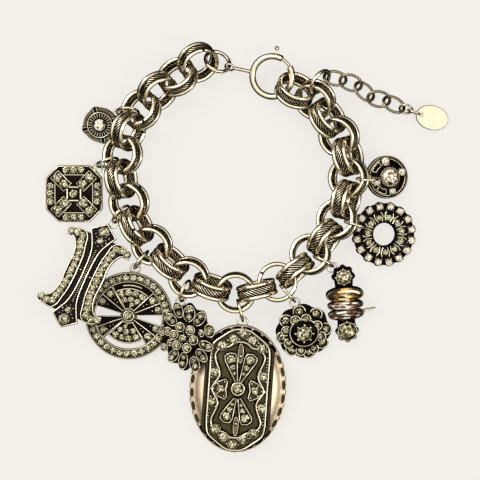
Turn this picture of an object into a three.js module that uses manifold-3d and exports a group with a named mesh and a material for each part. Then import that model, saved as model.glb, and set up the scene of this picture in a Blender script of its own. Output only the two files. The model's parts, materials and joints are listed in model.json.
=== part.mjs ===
// Charm bracelet, in millimetres, lying open on the plane z = 0 with its face up (+Z).
// A chain of triple-ring links carries ten stone-set charms on jump rings, and closes with a spring
// ring whose gate slides back. A short extension chain with a plain oval tag hangs from the last link.
import * as THREE from "three";
import { ConvexGeometry } from "three/addons/geometries/ConvexGeometry.js";
import { mergeVertices } from "three/addons/utils/BufferGeometryUtils.js";
import Module from "manifold-3d";

const wasm = await Module();
wasm.setup();

// Sizes of the chain
const linkOuterRadius = 5.2;
const linkThickness = 1.0;
const plainRingWidth = 0.95;
const ropeBandWidth = 2.2;
const linkSides = 10;
const endRingWire = 1.0;
const endRingClearance = 0.75;

// Sizes of the jump rings and of the eyes that they pass through
const jumpRingWire = 0.7;
const jumpRingClearance = 0.45;
const jumpRingSides = 10;
const eyeWire = 0.5;
const eyeHoleRadius = 1.0;

// Sizes of the spring ring
const claspOuterRadius = 6.1;
const claspTube = 1.7;
const claspBore = 1.26;
const gateWire = 0.8;
const gateGapStart = 26;
const gateGapEnd = 58;
const gateTravel = 35;
const nubAngle = 78;
const nubReach = 1.3;
const nubRadius = 0.6;
const nubPinWidth = 0.5;
const claspEyeRadius = 1.15;
const claspNeckWidth = 0.9;

// Sizes of the extension chain and its tag
const extensionLinkLength = 6.8;
const extensionLinkWidth = 5.6;
const extensionWire = 0.8;
const extensionPitch = 4.3;
const extensionRoll = 38;
const extensionHeadings = [-4, -26, -38, -16, -22];
const extensionSlope = 11;
const tagRingRadius = 1.95;
const tagRingRolls = [52, 90];
const tagRingHeading = -20;
const tagHeadingTurn = 6;
const tagRingWire = 0.6;
const tagRingPlay = 0.35;
const tagHalfLength = 4.4;
const tagHalfWidth = 3.2;
const tagThickness = 0.6;
const tagHoleRadius = 0.7;

// Sizes shared by the charms
const plateThickness = 1.0;
const reliefHeight = 0.6;
const stoneRise = 0.45;
const tableShare = 0.6;
const shortestEdge = 0.005;

// Sizes of each charm
const shieldHalfWidth = 4.5;
const shieldCornerTurn = -11;
const octagonHalfWidth = 7.4;
const octagonChamfer = 3.25;
const scrollHalfLength = 14.7;
const scrollHalfWidth = 9.0;
const wheelRadius = 11.4;
const wheelRimWidth = 2.8;
const flowerHalfLength = 9.3;
const flowerHalfWidth = 7.3;
const ovalHalfLength = 16.8;
const ovalHalfWidth = 12.6;
const ovalHeight = 2.8;
const rosetteRadius = 7.4;
const stackWidth = 9.6;
const stackLength = 20.6;
const wreathRadius = 8.45;
const wreathHoleRadius = 2.95;
const buttonRadius = 5.6;

// Where the chain lies: one row for each link, in shares of a link's outer diameter
const route = [
  [-1.05, 4.43], [-1.56, 4.07], [-2.06, 3.71], [-2.47, 3.25], [-2.79, 2.73], [-2.93, 2.13],
  [-2.97, 1.52], [-2.77, 0.94], [-2.59, 0.35], [-2.2, -0.12], [-1.76, -0.55], [-1.28, -0.93],
  [-0.71, -1.17], [-0.11, -1.31], [0.42, -1.25], [0.93, -1.05], [1.38, -0.76], [1.75, -0.36],
  [2.12, 0.04], [2.42, 0.51], [2.64, 1.0], [2.71, 1.55], [2.69, 2.09], [2.47, 2.59], [2.18, 3.05],
  [1.87, 3.5], [1.38, 3.73],
];

// How far the flat-lying links lean outward along the chain; the links between them stand across
const leanAlongChain = [
  { share: 0, degrees: 45 },
  { share: 0.2, degrees: 31 },
  { share: 0.42, degrees: 24 },
  { share: 0.7, degrees: -24 },
  { share: 0.85, degrees: -30 },
  { share: 1, degrees: -42 },
];

const linkInnerRadius = linkOuterRadius - linkThickness;
const linkMidRadius = linkOuterRadius - linkThickness / 2;
const linkWidth = ropeBandWidth + 2 * plainRingWidth;
const linkHeight = Math.hypot(linkOuterRadius, linkWidth / 2);
const jumpRingMidRadius = linkWidth / 2 + jumpRingClearance + jumpRingWire / 2;
const eyeMidRadius = eyeHoleRadius + eyeWire / 2;
const endRingMidRadius = linkWidth / 2 + endRingClearance + endRingWire / 2;
const claspMidRadius = claspOuterRadius - claspTube / 2;
const up = new THREE.Vector3(0, 0, 1);

const degrees = THREE.MathUtils.degToRad;

// Finishes
const finish = (color, metalness, roughness) => new THREE.MeshStandardMaterial({ color, metalness, roughness });
const polished = finish(0xd8d2bd, 1, 0.3);
const antiqued = finish(0x9a917a, 1, 0.42);
const stoneSet = finish(0xb9b08f, 0.8, 0.3);
const pale = finish(0xcbbfa8, 1, 0.35);

// A closed geometry as a solid that can be joined and cut, and back again
function solidOf(geometry) {
  const bare = geometry.clone();
  bare.deleteAttribute("normal");
  bare.deleteAttribute("uv");
  const merged = mergeVertices(bare, 1e-4);
  const triVerts = new Uint32Array(merged.index.array);
  return new wasm.Manifold(new wasm.Mesh({ numProp: 3, vertProperties: merged.attributes.position.array, triVerts }));
}

function geometryOf(solid) {
  const mesh = solid.simplify(shortestEdge).getMesh();
  const geometry = new THREE.BufferGeometry();
  geometry.setAttribute("position", new THREE.BufferAttribute(new Float32Array(mesh.vertProperties), 3));
  geometry.setIndex(new THREE.BufferAttribute(new Uint32Array(mesh.triVerts), 1));
  geometry.computeVertexNormals();
  return geometry;
}

function fuse(geometries) {
  return geometries.map(solidOf).reduce((whole, next) => whole.add(next));
}

function cut(solid, geometries) {
  return geometries.map(solidOf).reduce((whole, next) => whole.subtract(next), solid);
}

// Shapes: a flat piece from an outline, a turned piece, a disc, a ring and a cut stone
function slab(outline, bottom, top) {
  const shape = new THREE.Shape(outline.map(([x, y]) => new THREE.Vector2(x, y)));
  return new THREE.ExtrudeGeometry(shape, { depth: top - bottom, bevelEnabled: false }).translate(0, 0, bottom);
}

function turned(profile, sides) {
  const points = profile.map(([radius, height]) => new THREE.Vector2(radius, height));
  return new THREE.LatheGeometry(points, sides).rotateX(Math.PI / 2);
}

function disc(radius, bottom, top, sides, x = 0, y = 0) {
  return slab(ring(radius, sides), bottom, top).translate(x, y, 0);
}

function ring(radius, count, offset = 0) {
  return Array.from({ length: count }, (_, i) => polar(radius, offset + (360 * i) / count));
}

function polar(radius, angle) {
  return [radius * Math.cos(degrees(angle)), radius * Math.sin(degrees(angle))];
}

function bar(x1, y1, x2, y2, width, bottom, top, farWidth = width) {
  const length = Math.hypot(x2 - x1, y2 - y1);
  const outline = [[0, -width / 2], [length, -farWidth / 2], [length, farWidth / 2], [0, width / 2]];
  return slab(outline, bottom, top).rotateZ(Math.atan2(y2 - y1, x2 - x1)).translate(x1, y1, 0);
}

// A cut stone: a girdle with its corners between those of the table above it
function stone(x, y, radius, seat, sides = 4) {
  const corners = [];
  for (const [px, py] of ring(radius, sides)) {
    corners.push(new THREE.Vector3(x + px, y + py, seat - reliefHeight / 2));
    corners.push(new THREE.Vector3(x + px, y + py, seat));
  }
  for (const [px, py] of ring(radius * tableShare, sides, 180 / sides)) {
    corners.push(new THREE.Vector3(x + px, y + py, seat + stoneRise));
  }
  return new ConvexGeometry(corners);
}

// A charm with the eye that its jump ring passes through: flat beyond its edge, or standing on its face.
// The eye lies at an angle round the charm, or at a point.
function withEye(solid, x, y, across = false) {
  const height = across ? plateThickness + eyeMidRadius - eyeWire / 4 : plateThickness / 2;
  const loop = new THREE.TorusGeometry(eyeMidRadius, eyeWire / 2, 5, 8);
  if (across) {
    loop.rotateY(Math.PI / 2);
  }
  loop.translate(x, y, height);
  return { solid: solid.add(solidOf(loop)), eyePlace: new THREE.Vector3(x, y, height) };
}

// One link: a rope-twist band between two plain rings, soldered into one
function linkGeometry() {
  const middle = linkMidRadius;
  const half = linkWidth / 2;
  const crest = linkThickness * 0.42;
  const groove = linkThickness * 0.25;
  const rounding = plainRingWidth * 0.3;
  const seam = half - plainRingWidth;
  const shoulder = seam - rounding;
  return turned([
    [middle, -half], [middle + crest, rounding - half], [middle + groove, -seam], [linkOuterRadius, -shoulder],
    [linkOuterRadius, shoulder], [middle + groove, seam], [middle + crest, half - rounding], [middle, half],
    [linkInnerRadius, half - rounding], [linkInnerRadius, rounding - half], [middle, -half],
  ], linkSides);
}

const centres = route.map(([x, y]) => new THREE.Vector3(x, y, 0).multiplyScalar(2 * linkOuterRadius).setZ(linkHeight));

function leanAt(share) {
  const next = leanAlongChain.findIndex((row) => row.share >= share && row.share > 0);
  const [from, to] = [leanAlongChain[next - 1], leanAlongChain[next]];
  return THREE.MathUtils.mapLinear(share, from.share, to.share, from.degrees, to.degrees);
}

// The axes of a link: along the chain, outward in the link's own plane, and its normal
function linkFrame(index) {
  const before = centres[Math.max(0, index - 1)];
  const after = centres[Math.min(centres.length - 1, index + 1)];
  const along = after.clone().sub(before).normalize();
  const outward = along.clone().cross(up);
  const standing = index % 2 === 0 ? 90 : 0;
  const lean = degrees(leanAt(index / (centres.length - 1)) - standing);
  const normal = up.clone().multiplyScalar(Math.cos(lean)).addScaledVector(outward, Math.sin(lean));
  return { centre: centres[index], along, outward: along.clone().cross(normal), normal };
}

const bracelet = new THREE.Group();

function add(name, geometry, material, matrix = new THREE.Matrix4()) {
  const mesh = new THREE.Mesh(geometry, material);
  mesh.name = name;
  mesh.applyMatrix4(matrix);
  bracelet.add(mesh);
  return mesh;
}

const number = (index) => String(index).padStart(2, "0");

route.forEach((_, index) => {
  const { centre, along, normal } = linkFrame(index);
  const matrix = new THREE.Matrix4().makeBasis(along, normal.clone().cross(along), normal).setPosition(centre);
  add(`link_${number(index + 1)}`, linkGeometry(), antiqued, matrix);
});

// A ring around a link's stack. around: place on the link, from its outermost point along the chain.
// twist: turn about the way outward. slide: how far its centre lies past the middle of the stack.
function ringOnLink(index, midRadius, { around = 0, twist = 0, slide = 0 }) {
  const { centre, along, outward, normal } = linkFrame(index);
  const reach = outward.clone().multiplyScalar(Math.cos(degrees(around)));
  reach.addScaledVector(along, Math.sin(degrees(around)));
  const tangent = reach.clone().cross(normal);
  const side = normal.clone().applyAxisAngle(reach, degrees(twist));
  const axis = tangent.applyAxisAngle(reach, degrees(twist));
  const position = centre.clone().addScaledVector(reach, linkMidRadius + slide);
  const matrix = new THREE.Matrix4().makeBasis(reach, side, reach.clone().cross(side)).setPosition(position);
  const onRing = (angle, radius = midRadius) => position.clone()
    .addScaledVector(reach, radius * Math.cos(degrees(angle)))
    .addScaledVector(side, radius * Math.sin(degrees(angle)));
  return { matrix, onRing, axis, position };
}

// Charms. Each maker gives a solid in the charm's own plane: its back at z = 0, its face up.

function shield() {
  const outline = ring(shieldHalfWidth, 16, shieldCornerTurn).map(([x, y], i) => {
    const bulge = i % 4 === 0 ? 1.12 : 1;
    return [x * bulge, y * bulge];
  });
  const bezel = shieldHalfWidth * 0.76;
  const top = plateThickness + reliefHeight;
  const parts = [
    slab(outline, 0, plateThickness),
    turned([[bezel, 0.1], [bezel, top], [bezel * 0.9, top], [bezel * 0.9, 0.1], [bezel, 0.1]], 16),
    disc(bezel * 0.52, 0.2, top, 8),
    stone(0, 0, shieldHalfWidth * 0.35, top, 8),
  ];
  return withEye(fuse(parts), shieldHalfWidth + eyeMidRadius * 0.6, 0);
}

function octagon() {
  const half = octagonHalfWidth;
  const flat = half - octagonChamfer;
  const outline = [[half, flat], [flat, half], [-flat, half], [-half, flat], [-half, -flat], [-flat, -half],
    [flat, -half], [half, -flat]];
  const top = plateThickness + reliefHeight;
  const parts = [slab(outline, 0, plateThickness)];
  for (const angle of [0, 90, 180, 270]) {
    const [x1, y1] = polar(half * 0.26, angle + 45);
    const [x2, y2] = polar(half * 1.02, angle + 45);
    parts.push(bar(x1, y1, x2, y2, half * 0.38, 0.1, top));
    const edge = [half * 0.84, -half * 0.44];
    parts.push(bar(edge[0], edge[1], edge[0], -edge[1], half * 0.28, 0.1, top).rotateZ(degrees(angle)));
    for (const share of [0.47, 0.83]) {
      parts.push(stone(...polar(half * share, angle + 45), half * 0.145, top));
    }
    for (const share of [-0.3, 0, 0.3]) {
      parts.push(stone(half * 0.84, half * share, half * 0.12, top).rotateZ(degrees(angle)));
    }
  }
  parts.push(disc(half * 0.3, 0.1, top, 4).rotateZ(Math.PI / 4), stone(0, 0, half * 0.15, top, 8));
  const [x, y] = polar(half * 1.24, 48);
  parts.push(bar(flat, half * 0.8, x * 0.95, y * 0.92, eyeWire * 2, 0.1, plateThickness));
  return withEye(fuse(parts), x, y);
}

// The upper right quarter of the scroll's curved band and of its middle strip, as shares of its size
const scrollBandOuter = [[0.58, 0.745], [0.8, 0.71], [0.98, 0.56], [0.72, 0.54], [0.6, 0.42], [0.54, 0.28], [0.58, 0.1]];
const scrollBandInner = [[0.35, 0.62], [0.34, 0.5], [0.27, 0.34], [0.26, 0.1]];
const scrollStrip = [[0.39, 0.82], [0.27, 0.68], [0.15, 0.53], [0.09, 0.35], [0.07, 0.1]];

// The same outline carried on below the middle line
const withLower = (points) => [...points, ...points.map(([x, y]) => [x, -y]).reverse()];
const flipped = (points) => points.map(([x, y]) => [-x, y]);

function scroll() {
  const scaled = (points) => points.map(([x, y]) => [x * scrollHalfWidth, y * scrollHalfLength]);
  const band = [...withLower(scrollBandOuter), ...withLower(scrollBandInner).reverse()];
  const stripSide = withLower(scrollStrip);
  const strip = [[0, 1], ...stripSide, [0, -1], ...flipped(stripSide).reverse()];
  const floor = [[0.35, 0.6], [0.35, -0.6], [-0.35, -0.6], [-0.35, 0.6]];
  const top = plateThickness + reliefHeight;
  const parts = [
    slab(scaled(floor), 0, plateThickness),
    slab(scaled(strip), 0, top),
    slab(scaled(band), 0, top),
    slab(scaled(flipped(band)), 0, top),
  ];
  const lengthwise = [-0.64, -0.53, -0.42, -0.31, -0.2, -0.1, 0, 0.1, 0.2, 0.31, 0.42, 0.53, 0.64];
  for (const side of [-1, 1]) {
    for (const share of lengthwise) {
      const middle = 0.41 + 0.75 * Math.max(0, Math.abs(share) - 0.2) ** 1.45;
      parts.push(stone(side * middle * scrollHalfWidth, share * scrollHalfLength, scrollHalfWidth * 0.12, top));
    }
    parts.push(stone(0, side * 0.84 * scrollHalfLength, scrollHalfWidth * 0.15, top, 6));
    parts.push(stone(0, side * 0.68 * scrollHalfLength, scrollHalfWidth * 0.11, top));
  }
  return withEye(fuse(parts), scrollHalfWidth * 0.1, scrollHalfLength + eyeMidRadius * 0.7);
}

function sector(inner, outer, from, to, steps, bottom, top) {
  const arc = (radius, start, end) => Array.from({ length: steps + 1 }, (_, i) => (
    polar(radius, start + ((end - start) * i) / steps)));
  return slab([...arc(outer, from, to), ...arc(inner, to, from)], bottom, top);
}

function wheel() {
  const rim = wheelRadius - wheelRimWidth;
  const top = plateThickness + reliefHeight;
  const rimLine = wheelRadius - wheelRimWidth / 2;
  const parts = [
    turned([[wheelRadius, 0], [wheelRadius, top], [rim, top], [rim, 0], [wheelRadius, 0]], 24),
    disc(wheelRadius * 0.2, 0, top, 8),
    stone(0, 0, wheelRadius * 0.12, top, 8),
  ];
  for (const middle of [91, 269]) {
    parts.push(sector(wheelRadius * 0.17, wheelRadius * 0.62, middle - 32, middle + 32, 5, 0, top));
    for (const turn of [-22, 0, 22]) {
      parts.push(stone(...polar(wheelRadius * 0.52, middle + turn), wheelRadius * 0.085, top));
    }
    parts.push(stone(...polar(wheelRadius * 0.34, middle), wheelRadius * 0.085, top));
  }
  for (const angle of [19, 41, 137, 158.5, 196, 217, 319.5, 341]) {
    parts.push(bar(...polar(wheelRadius * 0.15, angle), ...polar(rim + 0.4, angle), 0.7, 0, top, 1.9));
    parts.push(stone(...polar(wheelRadius * 0.68, angle), wheelRadius * 0.08, top));
  }
  for (const [x, y] of ring(rimLine, 24, 7)) {
    parts.push(stone(x, y, wheelRimWidth * 0.36, top));
  }
  return withEye(fuse(parts), 0, wheelRadius + eyeMidRadius * 0.75);
}

function flower() {
  const across = flowerHalfWidth;
  const along = flowerHalfLength;
  const outline = ring(1, 20, 9).map(([x, y], i) => {
    const lobe = i % 2 === 0 ? 1 : 0.88;
    return [x * across * lobe, y * along * lobe];
  });
  const middle = ring(1, 12).map(([x, y]) => [x * across * 0.62, y * along * 0.55]);
  const low = plateThickness;
  const high = plateThickness + reliefHeight * 1.5;
  const parts = [slab(outline, 0, low), slab(middle, 0.1, high), stone(0, 0, across * 0.18, high, 6)];
  for (const [x, y] of ring(0.4, 6, 20)) {
    parts.push(stone(x * across, y * along * 0.85, across * 0.2, high, 6));
  }
  for (const [x, y] of ring(0.78, 14, 12)) {
    parts.push(stone(x * across, y * along, across * 0.15, low));
  }
  return withEye(fuse(parts), -across * 0.2, along * 0.92 + eyeMidRadius * 0.45);
}

function oval() {
  const across = ovalHalfWidth;
  const along = ovalHalfLength;
  const top = ovalHeight + reliefHeight;
  const dome = turned([[0, 0], [1, 0], [1, 0.8], [0.92, 1.1], [0.84, ovalHeight * 0.8], [0.66, ovalHeight],
    [0, ovalHeight]], 24).scale(across, along, 1);
  const half = across * 0.6;
  const arch = [[half, along * 0.62], [half * 0.8, along * 0.78], [half * 0.3, along * 0.94],
    [-half * 0.3, along * 0.94], [-half * 0.8, along * 0.78], [-half, along * 0.62]];
  const plaque = [...arch, ...arch.map(([x, y]) => [-x, -y])];
  const inner = plaque.map(([x, y]) => [x * 0.64, y * 0.8]);
  const parts = [dome, slab(plaque, 0.5, top)];
  let solid = cut(fuse(parts), [slab(inner, ovalHeight - 0.3, top + 1)]);
  const petals = [];
  for (const [x, y] of [[1, 1], [-1, 1], [-1, -1], [1, -1]]) {
    petals.push(bar(x * 0.4, y * along * 0.1, x * half * 0.42, y * along * 0.62, 0.7, 0.6, top, half * 0.45));
    petals.push(stone(x * half * 0.38, y * along * 0.52, across * 0.085, top));
    petals.push(stone(x * half * 0.27, y * along * 0.36, across * 0.07, top));
  }
  petals.push(bar(-half * 0.5, 0, half * 0.5, 0, 1.4, 0.6, top));
  petals.push(bar(0, -along * 0.7, 0, along * 0.7, 0.7, 0.6, top - 0.1));
  petals.push(disc(across * 0.16, 0.5, top + 0.4, 10));
  petals.push(stone(0, 0, across * 0.11, top + 0.4, 8));
  const rows = [[0, 0.87], [0.42, 0.8], [0.8, 0.66], [0.82, 0.3], [0.82, 0]];
  for (const [x, y] of rows) {
    for (const [sx, sy] of [[1, 1], [-1, 1], [-1, -1], [1, -1]]) {
      const doubled = (x === 0 && sx < 0) || (y === 0 && sy < 0);
      if (!doubled) {
        petals.push(stone(sx * x * half, sy * y * along, across * 0.075, top));
      }
    }
  }
  for (const petal of petals) {
    solid = solid.add(solidOf(petal));
  }
  return withEye(solid, 0, along + eyeMidRadius * 0.6);
}

function rosette() {
  const radius = rosetteRadius;
  const low = plateThickness;
  const high = plateThickness + reliefHeight * 1.6;
  const domeTop = high + 0.8;
  const outline = ring(radius, 18).map(([x, y], i) => (i % 2 === 0 ? [x, y] : [x * 0.92, y * 0.92]));
  const parts = [
    slab(outline, 0, low),
    turned([[0, 0.1], [radius * 0.78, 0.1], [radius * 0.74, high], [radius * 0.48, high], [radius * 0.46, high + 0.3],
      [radius * 0.3, domeTop], [0, domeTop]], 12),
    stone(0, 0, radius * 0.3, domeTop, 8),
  ];
  for (const [x, y] of ring(radius * 0.62, 9, 10)) {
    parts.push(stone(x, y, radius * 0.15, high, 4));
  }
  for (const [x, y] of ring(radius * 0.85, 9, 30)) {
    parts.push(stone(x, y, radius * 0.14, low, 4));
  }
  return withEye(fuse(parts), ...polar(radius + eyeMidRadius * 0.6, 107));
}

function stack() {
  const half = stackWidth / 2;
  const end = stackLength / 2;
  const head = stackWidth * 0.31;
  const top = plateThickness + reliefHeight;
  const parts = [bar(0, -end + head, 0, end - head, stackWidth * 0.5, 0, plateThickness)];
  for (const side of [-1, 1]) {
    const y = side * (end - head);
    parts.push(disc(head, 0, top, 10, 0, y), stone(0, y, head * 0.58, top, 8));
  }
  for (const [share, raise] of [[0.13, 0.5], [-0.01, 0.2], [-0.13, 0.2]]) {
    const y = share * stackLength;
    const thick = stackLength * 0.085;
    const lens = [[half, 0], [half * 0.6, thick * 0.75], [0, thick], [-half * 0.6, thick * 0.75], [-half, 0],
      [-half * 0.6, -thick * 0.75], [0, -thick], [half * 0.6, -thick * 0.75]];
    const table = lens.map(([px, py]) => new THREE.Vector3(px * tableShare, y + py * tableShare, top + raise + 0.6));
    const girdle = lens.map(([px, py]) => new THREE.Vector3(px, y + py, top + raise));
    const back = lens.map(([px, py]) => new THREE.Vector3(px * 0.9, y + py * 0.9, 0.05));
    parts.push(new ConvexGeometry([...table, ...girdle, ...back]));
  }
  parts.push(bar(half * 0.7, -stackLength * 0.14, half * 1.65, -stackLength * 0.1, 1, 0.3, plateThickness, 0.3));
  const [x, y] = polar(head + eyeMidRadius * 0.6, 135);
  return withEye(fuse(parts), x, end - head + y);
}

function wreath() {
  const top = plateThickness + reliefHeight;
  const body = turned([[wreathRadius, 0], [wreathRadius, plateThickness], [wreathRadius * 0.8, top],
    [wreathHoleRadius, top], [wreathHoleRadius, 0], [wreathRadius, 0]], 18);
  const parts = [body];
  for (const [x, y] of ring(wreathRadius * 0.88, 16, 4)) {
    parts.push(stone(x, y, wreathRadius * 0.125, plateThickness + reliefHeight * 0.6));
  }
  for (const [x, y] of ring(wreathRadius * 0.54, 11, 12)) {
    parts.push(stone(x, y, wreathRadius * 0.105, top, 4));
  }
  return withEye(fuse(parts), wreathRadius * 0.93, 0, true);
}

function button() {
  const top = plateThickness + reliefHeight;
  const parts = [
    turned([[0, 0], [buttonRadius, 0], [buttonRadius, top], [buttonRadius * 0.9, top],
      [buttonRadius * 0.88, plateThickness], [0, plateThickness]], 20),
    disc(buttonRadius * 0.5, 0.1, top, 12, buttonRadius * 0.1, 0),
    stone(buttonRadius * 0.1, 0, buttonRadius * 0.41, top, 8),
  ];
  const satellites = [[95, 0.72, 0.22], [14, 0.78, 0.19], [282, 0.72, 0.18], [196, 0.6, 0.24]];
  for (const [angle, share, size] of satellites) {
    const [x, y] = polar(buttonRadius * share, angle);
    parts.push(disc(buttonRadius * size * 1.15, 0.1, top, 8, x, y), stone(x, y, buttonRadius * size, top, 6));
  }
  return withEye(fuse(parts), -buttonRadius * 0.97, 0, true);
}

// How each charm hangs. link: the link that carries it. around, twist, slide: its jump ring on that link.
// hang: where on the jump ring the eye rides. spin: the charm's turn in its own plane. eye: the place of
// its eye. across: the eye stands across the edge. lean and roll: its slope along and across the way from
// the eye to its middle; without a lean it slopes until it meets the plane z = 0.
const charms = [
  { name: "shield", make: shield, link: 4, around: 40, twist: 0, slide: -0.7, hang: 0, spin: 30 },
  { name: "octagon", make: octagon, link: 6, around: 30, twist: 0, slide: 0.35, hang: 5, spin: 0 },
  { name: "scroll", make: scroll, link: 8, around: 33, twist: 3, slide: -0.62, hang: 14, spin: -24, lean: -5, roll: 11.5 },
  { name: "wheel", make: wheel, link: 10, around: 10, twist: 0, slide: 0.7, hang: 0, spin: -8 },
  { name: "flower", make: flower, link: 12, around: 15, twist: 12, slide: -0.7, hang: 40, spin: 2, lean: -1, roll: 16 },
  { name: "oval", make: oval, link: 14, around: 18, twist: -5, slide: 0.24, hang: -11, spin: -4 },
  { name: "rosette", make: rosette, link: 16, around: 15, twist: 0, slide: -0.7, hang: -20, spin: 0 },
  { name: "stack", make: stack, link: 18, around: 15, twist: 0, slide: -0.7, hang: -40, spin: 5 },
  { name: "wreath", make: wreath, link: 20, around: 10.5, twist: 4.5, slide: 0.75, hang: -106, spin: 163, across: true },
  { name: "button", make: button, link: 22, around: -1, twist: 8, slide: 0.84, hang: -111, spin: 2.5, across: true },
];

function lowest(solid, matrix) {
  const mesh = solid.getMesh();
  const point = new THREE.Vector3();
  let low = Infinity;
  for (let i = 0; i < mesh.vertProperties.length; i += 3) {
    low = Math.min(low, point.fromArray(mesh.vertProperties, i).applyMatrix4(matrix).z);
  }
  return low;
}

// The charm's place: its eye at a point, its middle along the heading and sloped down from the eye
function charmMatrix(eyePlace, eyeAt, heading, spin, lean, roll) {
  const slope = new THREE.Quaternion().setFromAxisAngle(up.clone().cross(heading), degrees(lean));
  const bank = new THREE.Quaternion().setFromAxisAngle(heading, degrees(roll));
  const turn = new THREE.Quaternion().setFromAxisAngle(up, degrees(spin));
  const rotation = bank.multiply(slope).multiply(turn);
  const position = eyeAt.clone().sub(eyePlace.clone().applyQuaternion(rotation));
  return new THREE.Matrix4().compose(position, rotation, new THREE.Vector3(1, 1, 1));
}

// The slope at which a piece held by its eye touches the plane z = 0
function restingSlope(solid, eyePlace, eyeAt, heading, spin, roll) {
  let [flat, steep] = [-10, 60];
  for (let step = 0; step < 24; step += 1) {
    const slope = (flat + steep) / 2;
    if (lowest(solid, charmMatrix(eyePlace, eyeAt, heading, spin, slope, roll)) > 0) {
      flat = slope;
    } else {
      steep = slope;
    }
  }
  return flat;
}

const wireRing = (midRadius, wire, sides) => new THREE.TorusGeometry(midRadius, wire / 2, 5, sides);

charms.forEach(({ name, make, link, hang, spin, across = false, lean, roll = 0, ...place }) => {
  const { solid, eyePlace } = make();
  const { matrix, onRing } = ringOnLink(link - 1, jumpRingMidRadius, place);
  const heading = eyePlace.clone().negate().setZ(0).normalize().applyAxisAngle(up, degrees(spin));
  const slack = (eyeHoleRadius - jumpRingWire / 2) / 2;
  const pull = across ? up.clone().negate() : heading;
  const eyeAt = onRing(hang).addScaledVector(pull, slack);
  const slope = lean ?? restingSlope(solid, eyePlace, eyeAt, heading, spin, roll);
  add(`jump_ring_${name}`, wireRing(jumpRingMidRadius, jumpRingWire, jumpRingSides), polished, matrix);
  add(name, geometryOf(solid), stoneSet, charmMatrix(eyePlace, eyeAt, heading, spin, slope, roll));
});

// The plain rings at the two ends of the chain
const endRings = [
  ringOnLink(0, endRingMidRadius, { around: -130, twist: 20, slide: 1 }),
  ringOnLink(centres.length - 2, endRingMidRadius, { around: 20, twist: -20, slide: 1 }),
];
endRings.forEach(({ matrix }, index) => {
  add(`end_ring_${index + 1}`, wireRing(endRingMidRadius, endRingWire, 12), polished, matrix);
});

// The spring ring, hooked on the last link. Its angles are measured in its own plane from the +X side.
const hooked = ringOnLink(centres.length - 1, claspMidRadius, { around: 100, twist: 30, slide: 2.4 });
const hookedReach = new THREE.Vector3().setFromMatrixColumn(hooked.matrix, 0);
const claspMatrix = hooked.matrix.clone()
  .multiply(new THREE.Matrix4().makeRotationZ(-Math.atan2(hookedReach.y, hookedReach.x)));

// Part of a round tube that runs round the spring ring, between two angles
function tube(width, from, to, sides, steps) {
  const whole = solidOf(new THREE.TorusGeometry(claspMidRadius, width / 2, sides, steps));
  const wedgeSteps = Math.ceil((to - from) / 12);
  return whole.intersect(solidOf(sector(claspMidRadius - 2, claspMidRadius + 2, from, to, wedgeSteps, -2, 2)));
}

// A round bar between two points
function rod(start, end, width, sides) {
  const way = end.clone().sub(start);
  const turn = new THREE.Quaternion().setFromUnitVectors(new THREE.Vector3(0, 1, 0), way.clone().normalize());
  const middle = start.clone().lerp(end, 0.5);
  return new THREE.CylinderGeometry(width / 2, width / 2, way.length(), sides)
    .applyQuaternion(turn).translate(middle.x, middle.y, middle.z);
}

const onClasp = (angle, radius) => new THREE.Vector3(...polar(radius, angle), 0);

// The clasp's eye stands round the nearest wire of the first end ring, at the end of a short neck
function claspEye() {
  const toClasp = claspMatrix.clone().invert();
  const wire = Array.from({ length: 360 }, (_, angle) => endRings[0].onRing(angle).applyMatrix4(toClasp));
  const nearest = wire.reduce((best, point, i) => (point.length() < wire[best].length() ? i : best), 0);
  const wireAt = wire[nearest];
  const wireWay = wire[(nearest + 1) % 360].clone().sub(wireAt).normalize();
  const root = wireAt.clone().setZ(0).setLength(claspMidRadius);
  const way = wireAt.clone().sub(root).normalize();
  const slack = (claspEyeRadius - eyeWire / 2 - endRingWire / 2) * 0.4;
  const centre = wireAt.clone().addScaledVector(way, -slack);
  const side = wireWay.clone().cross(way).normalize();
  const basis = new THREE.Matrix4().makeBasis(way, side, way.clone().cross(side)).setPosition(centre);
  return [
    new THREE.TorusGeometry(claspEyeRadius, eyeWire / 2, 6, 10).applyMatrix4(basis),
    rod(root, centre.clone().addScaledVector(way, -claspEyeRadius), claspNeckWidth, 6),
  ];
}

const boreEnd = nubAngle + gateTravel + 30;
const slotMargin = 6;
const slot = sector(claspMidRadius, claspOuterRadius + 1, nubAngle - slotMargin, nubAngle + gateTravel + slotMargin,
  4, -nubPinWidth * 0.7, nubPinWidth * 0.7);
const claspBody = cut(fuse(claspEye()).add(tube(claspTube, gateGapEnd, gateGapStart + 360, 8, 24)), [slot])
  .subtract(tube(claspBore, gateGapEnd - 4, boreEnd, 6, 24))
  .subtract(tube(claspBore, gateGapStart - 8, gateGapStart + 4, 6, 24));
add("clasp_body", geometryOf(claspBody), polished, claspMatrix);

const gate = tube(gateWire, gateGapStart - 5, nubAngle + 22, 6, 24)
  .add(solidOf(rod(onClasp(nubAngle, claspMidRadius), onClasp(nubAngle, claspOuterRadius + nubReach), nubPinWidth, 6)))
  .add(solidOf(new THREE.IcosahedronGeometry(nubRadius, 1)
    .translate(...onClasp(nubAngle, claspOuterRadius + nubReach))));
add("clasp_gate", geometryOf(gate), polished, claspMatrix);

// The extension chain: oval links rolled to alternate sides, running down from the second end ring
const extensionStretch = extensionLinkLength / extensionLinkWidth;
const extensionInner = extensionLinkLength / 2 - extensionWire * extensionStretch;

function extensionWay(heading) {
  const [x, y] = polar(Math.cos(degrees(extensionSlope)), heading);
  return new THREE.Vector3(x, y, -Math.sin(degrees(extensionSlope)));
}

function extensionMatrix(centre, heading, roll) {
  const way = extensionWay(heading);
  const side = way.clone().cross(up).normalize();
  const normal = side.clone().cross(way).applyAxisAngle(way, degrees(roll));
  return new THREE.Matrix4().makeBasis(way, normal.clone().cross(way), normal).setPosition(centre);
}

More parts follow.
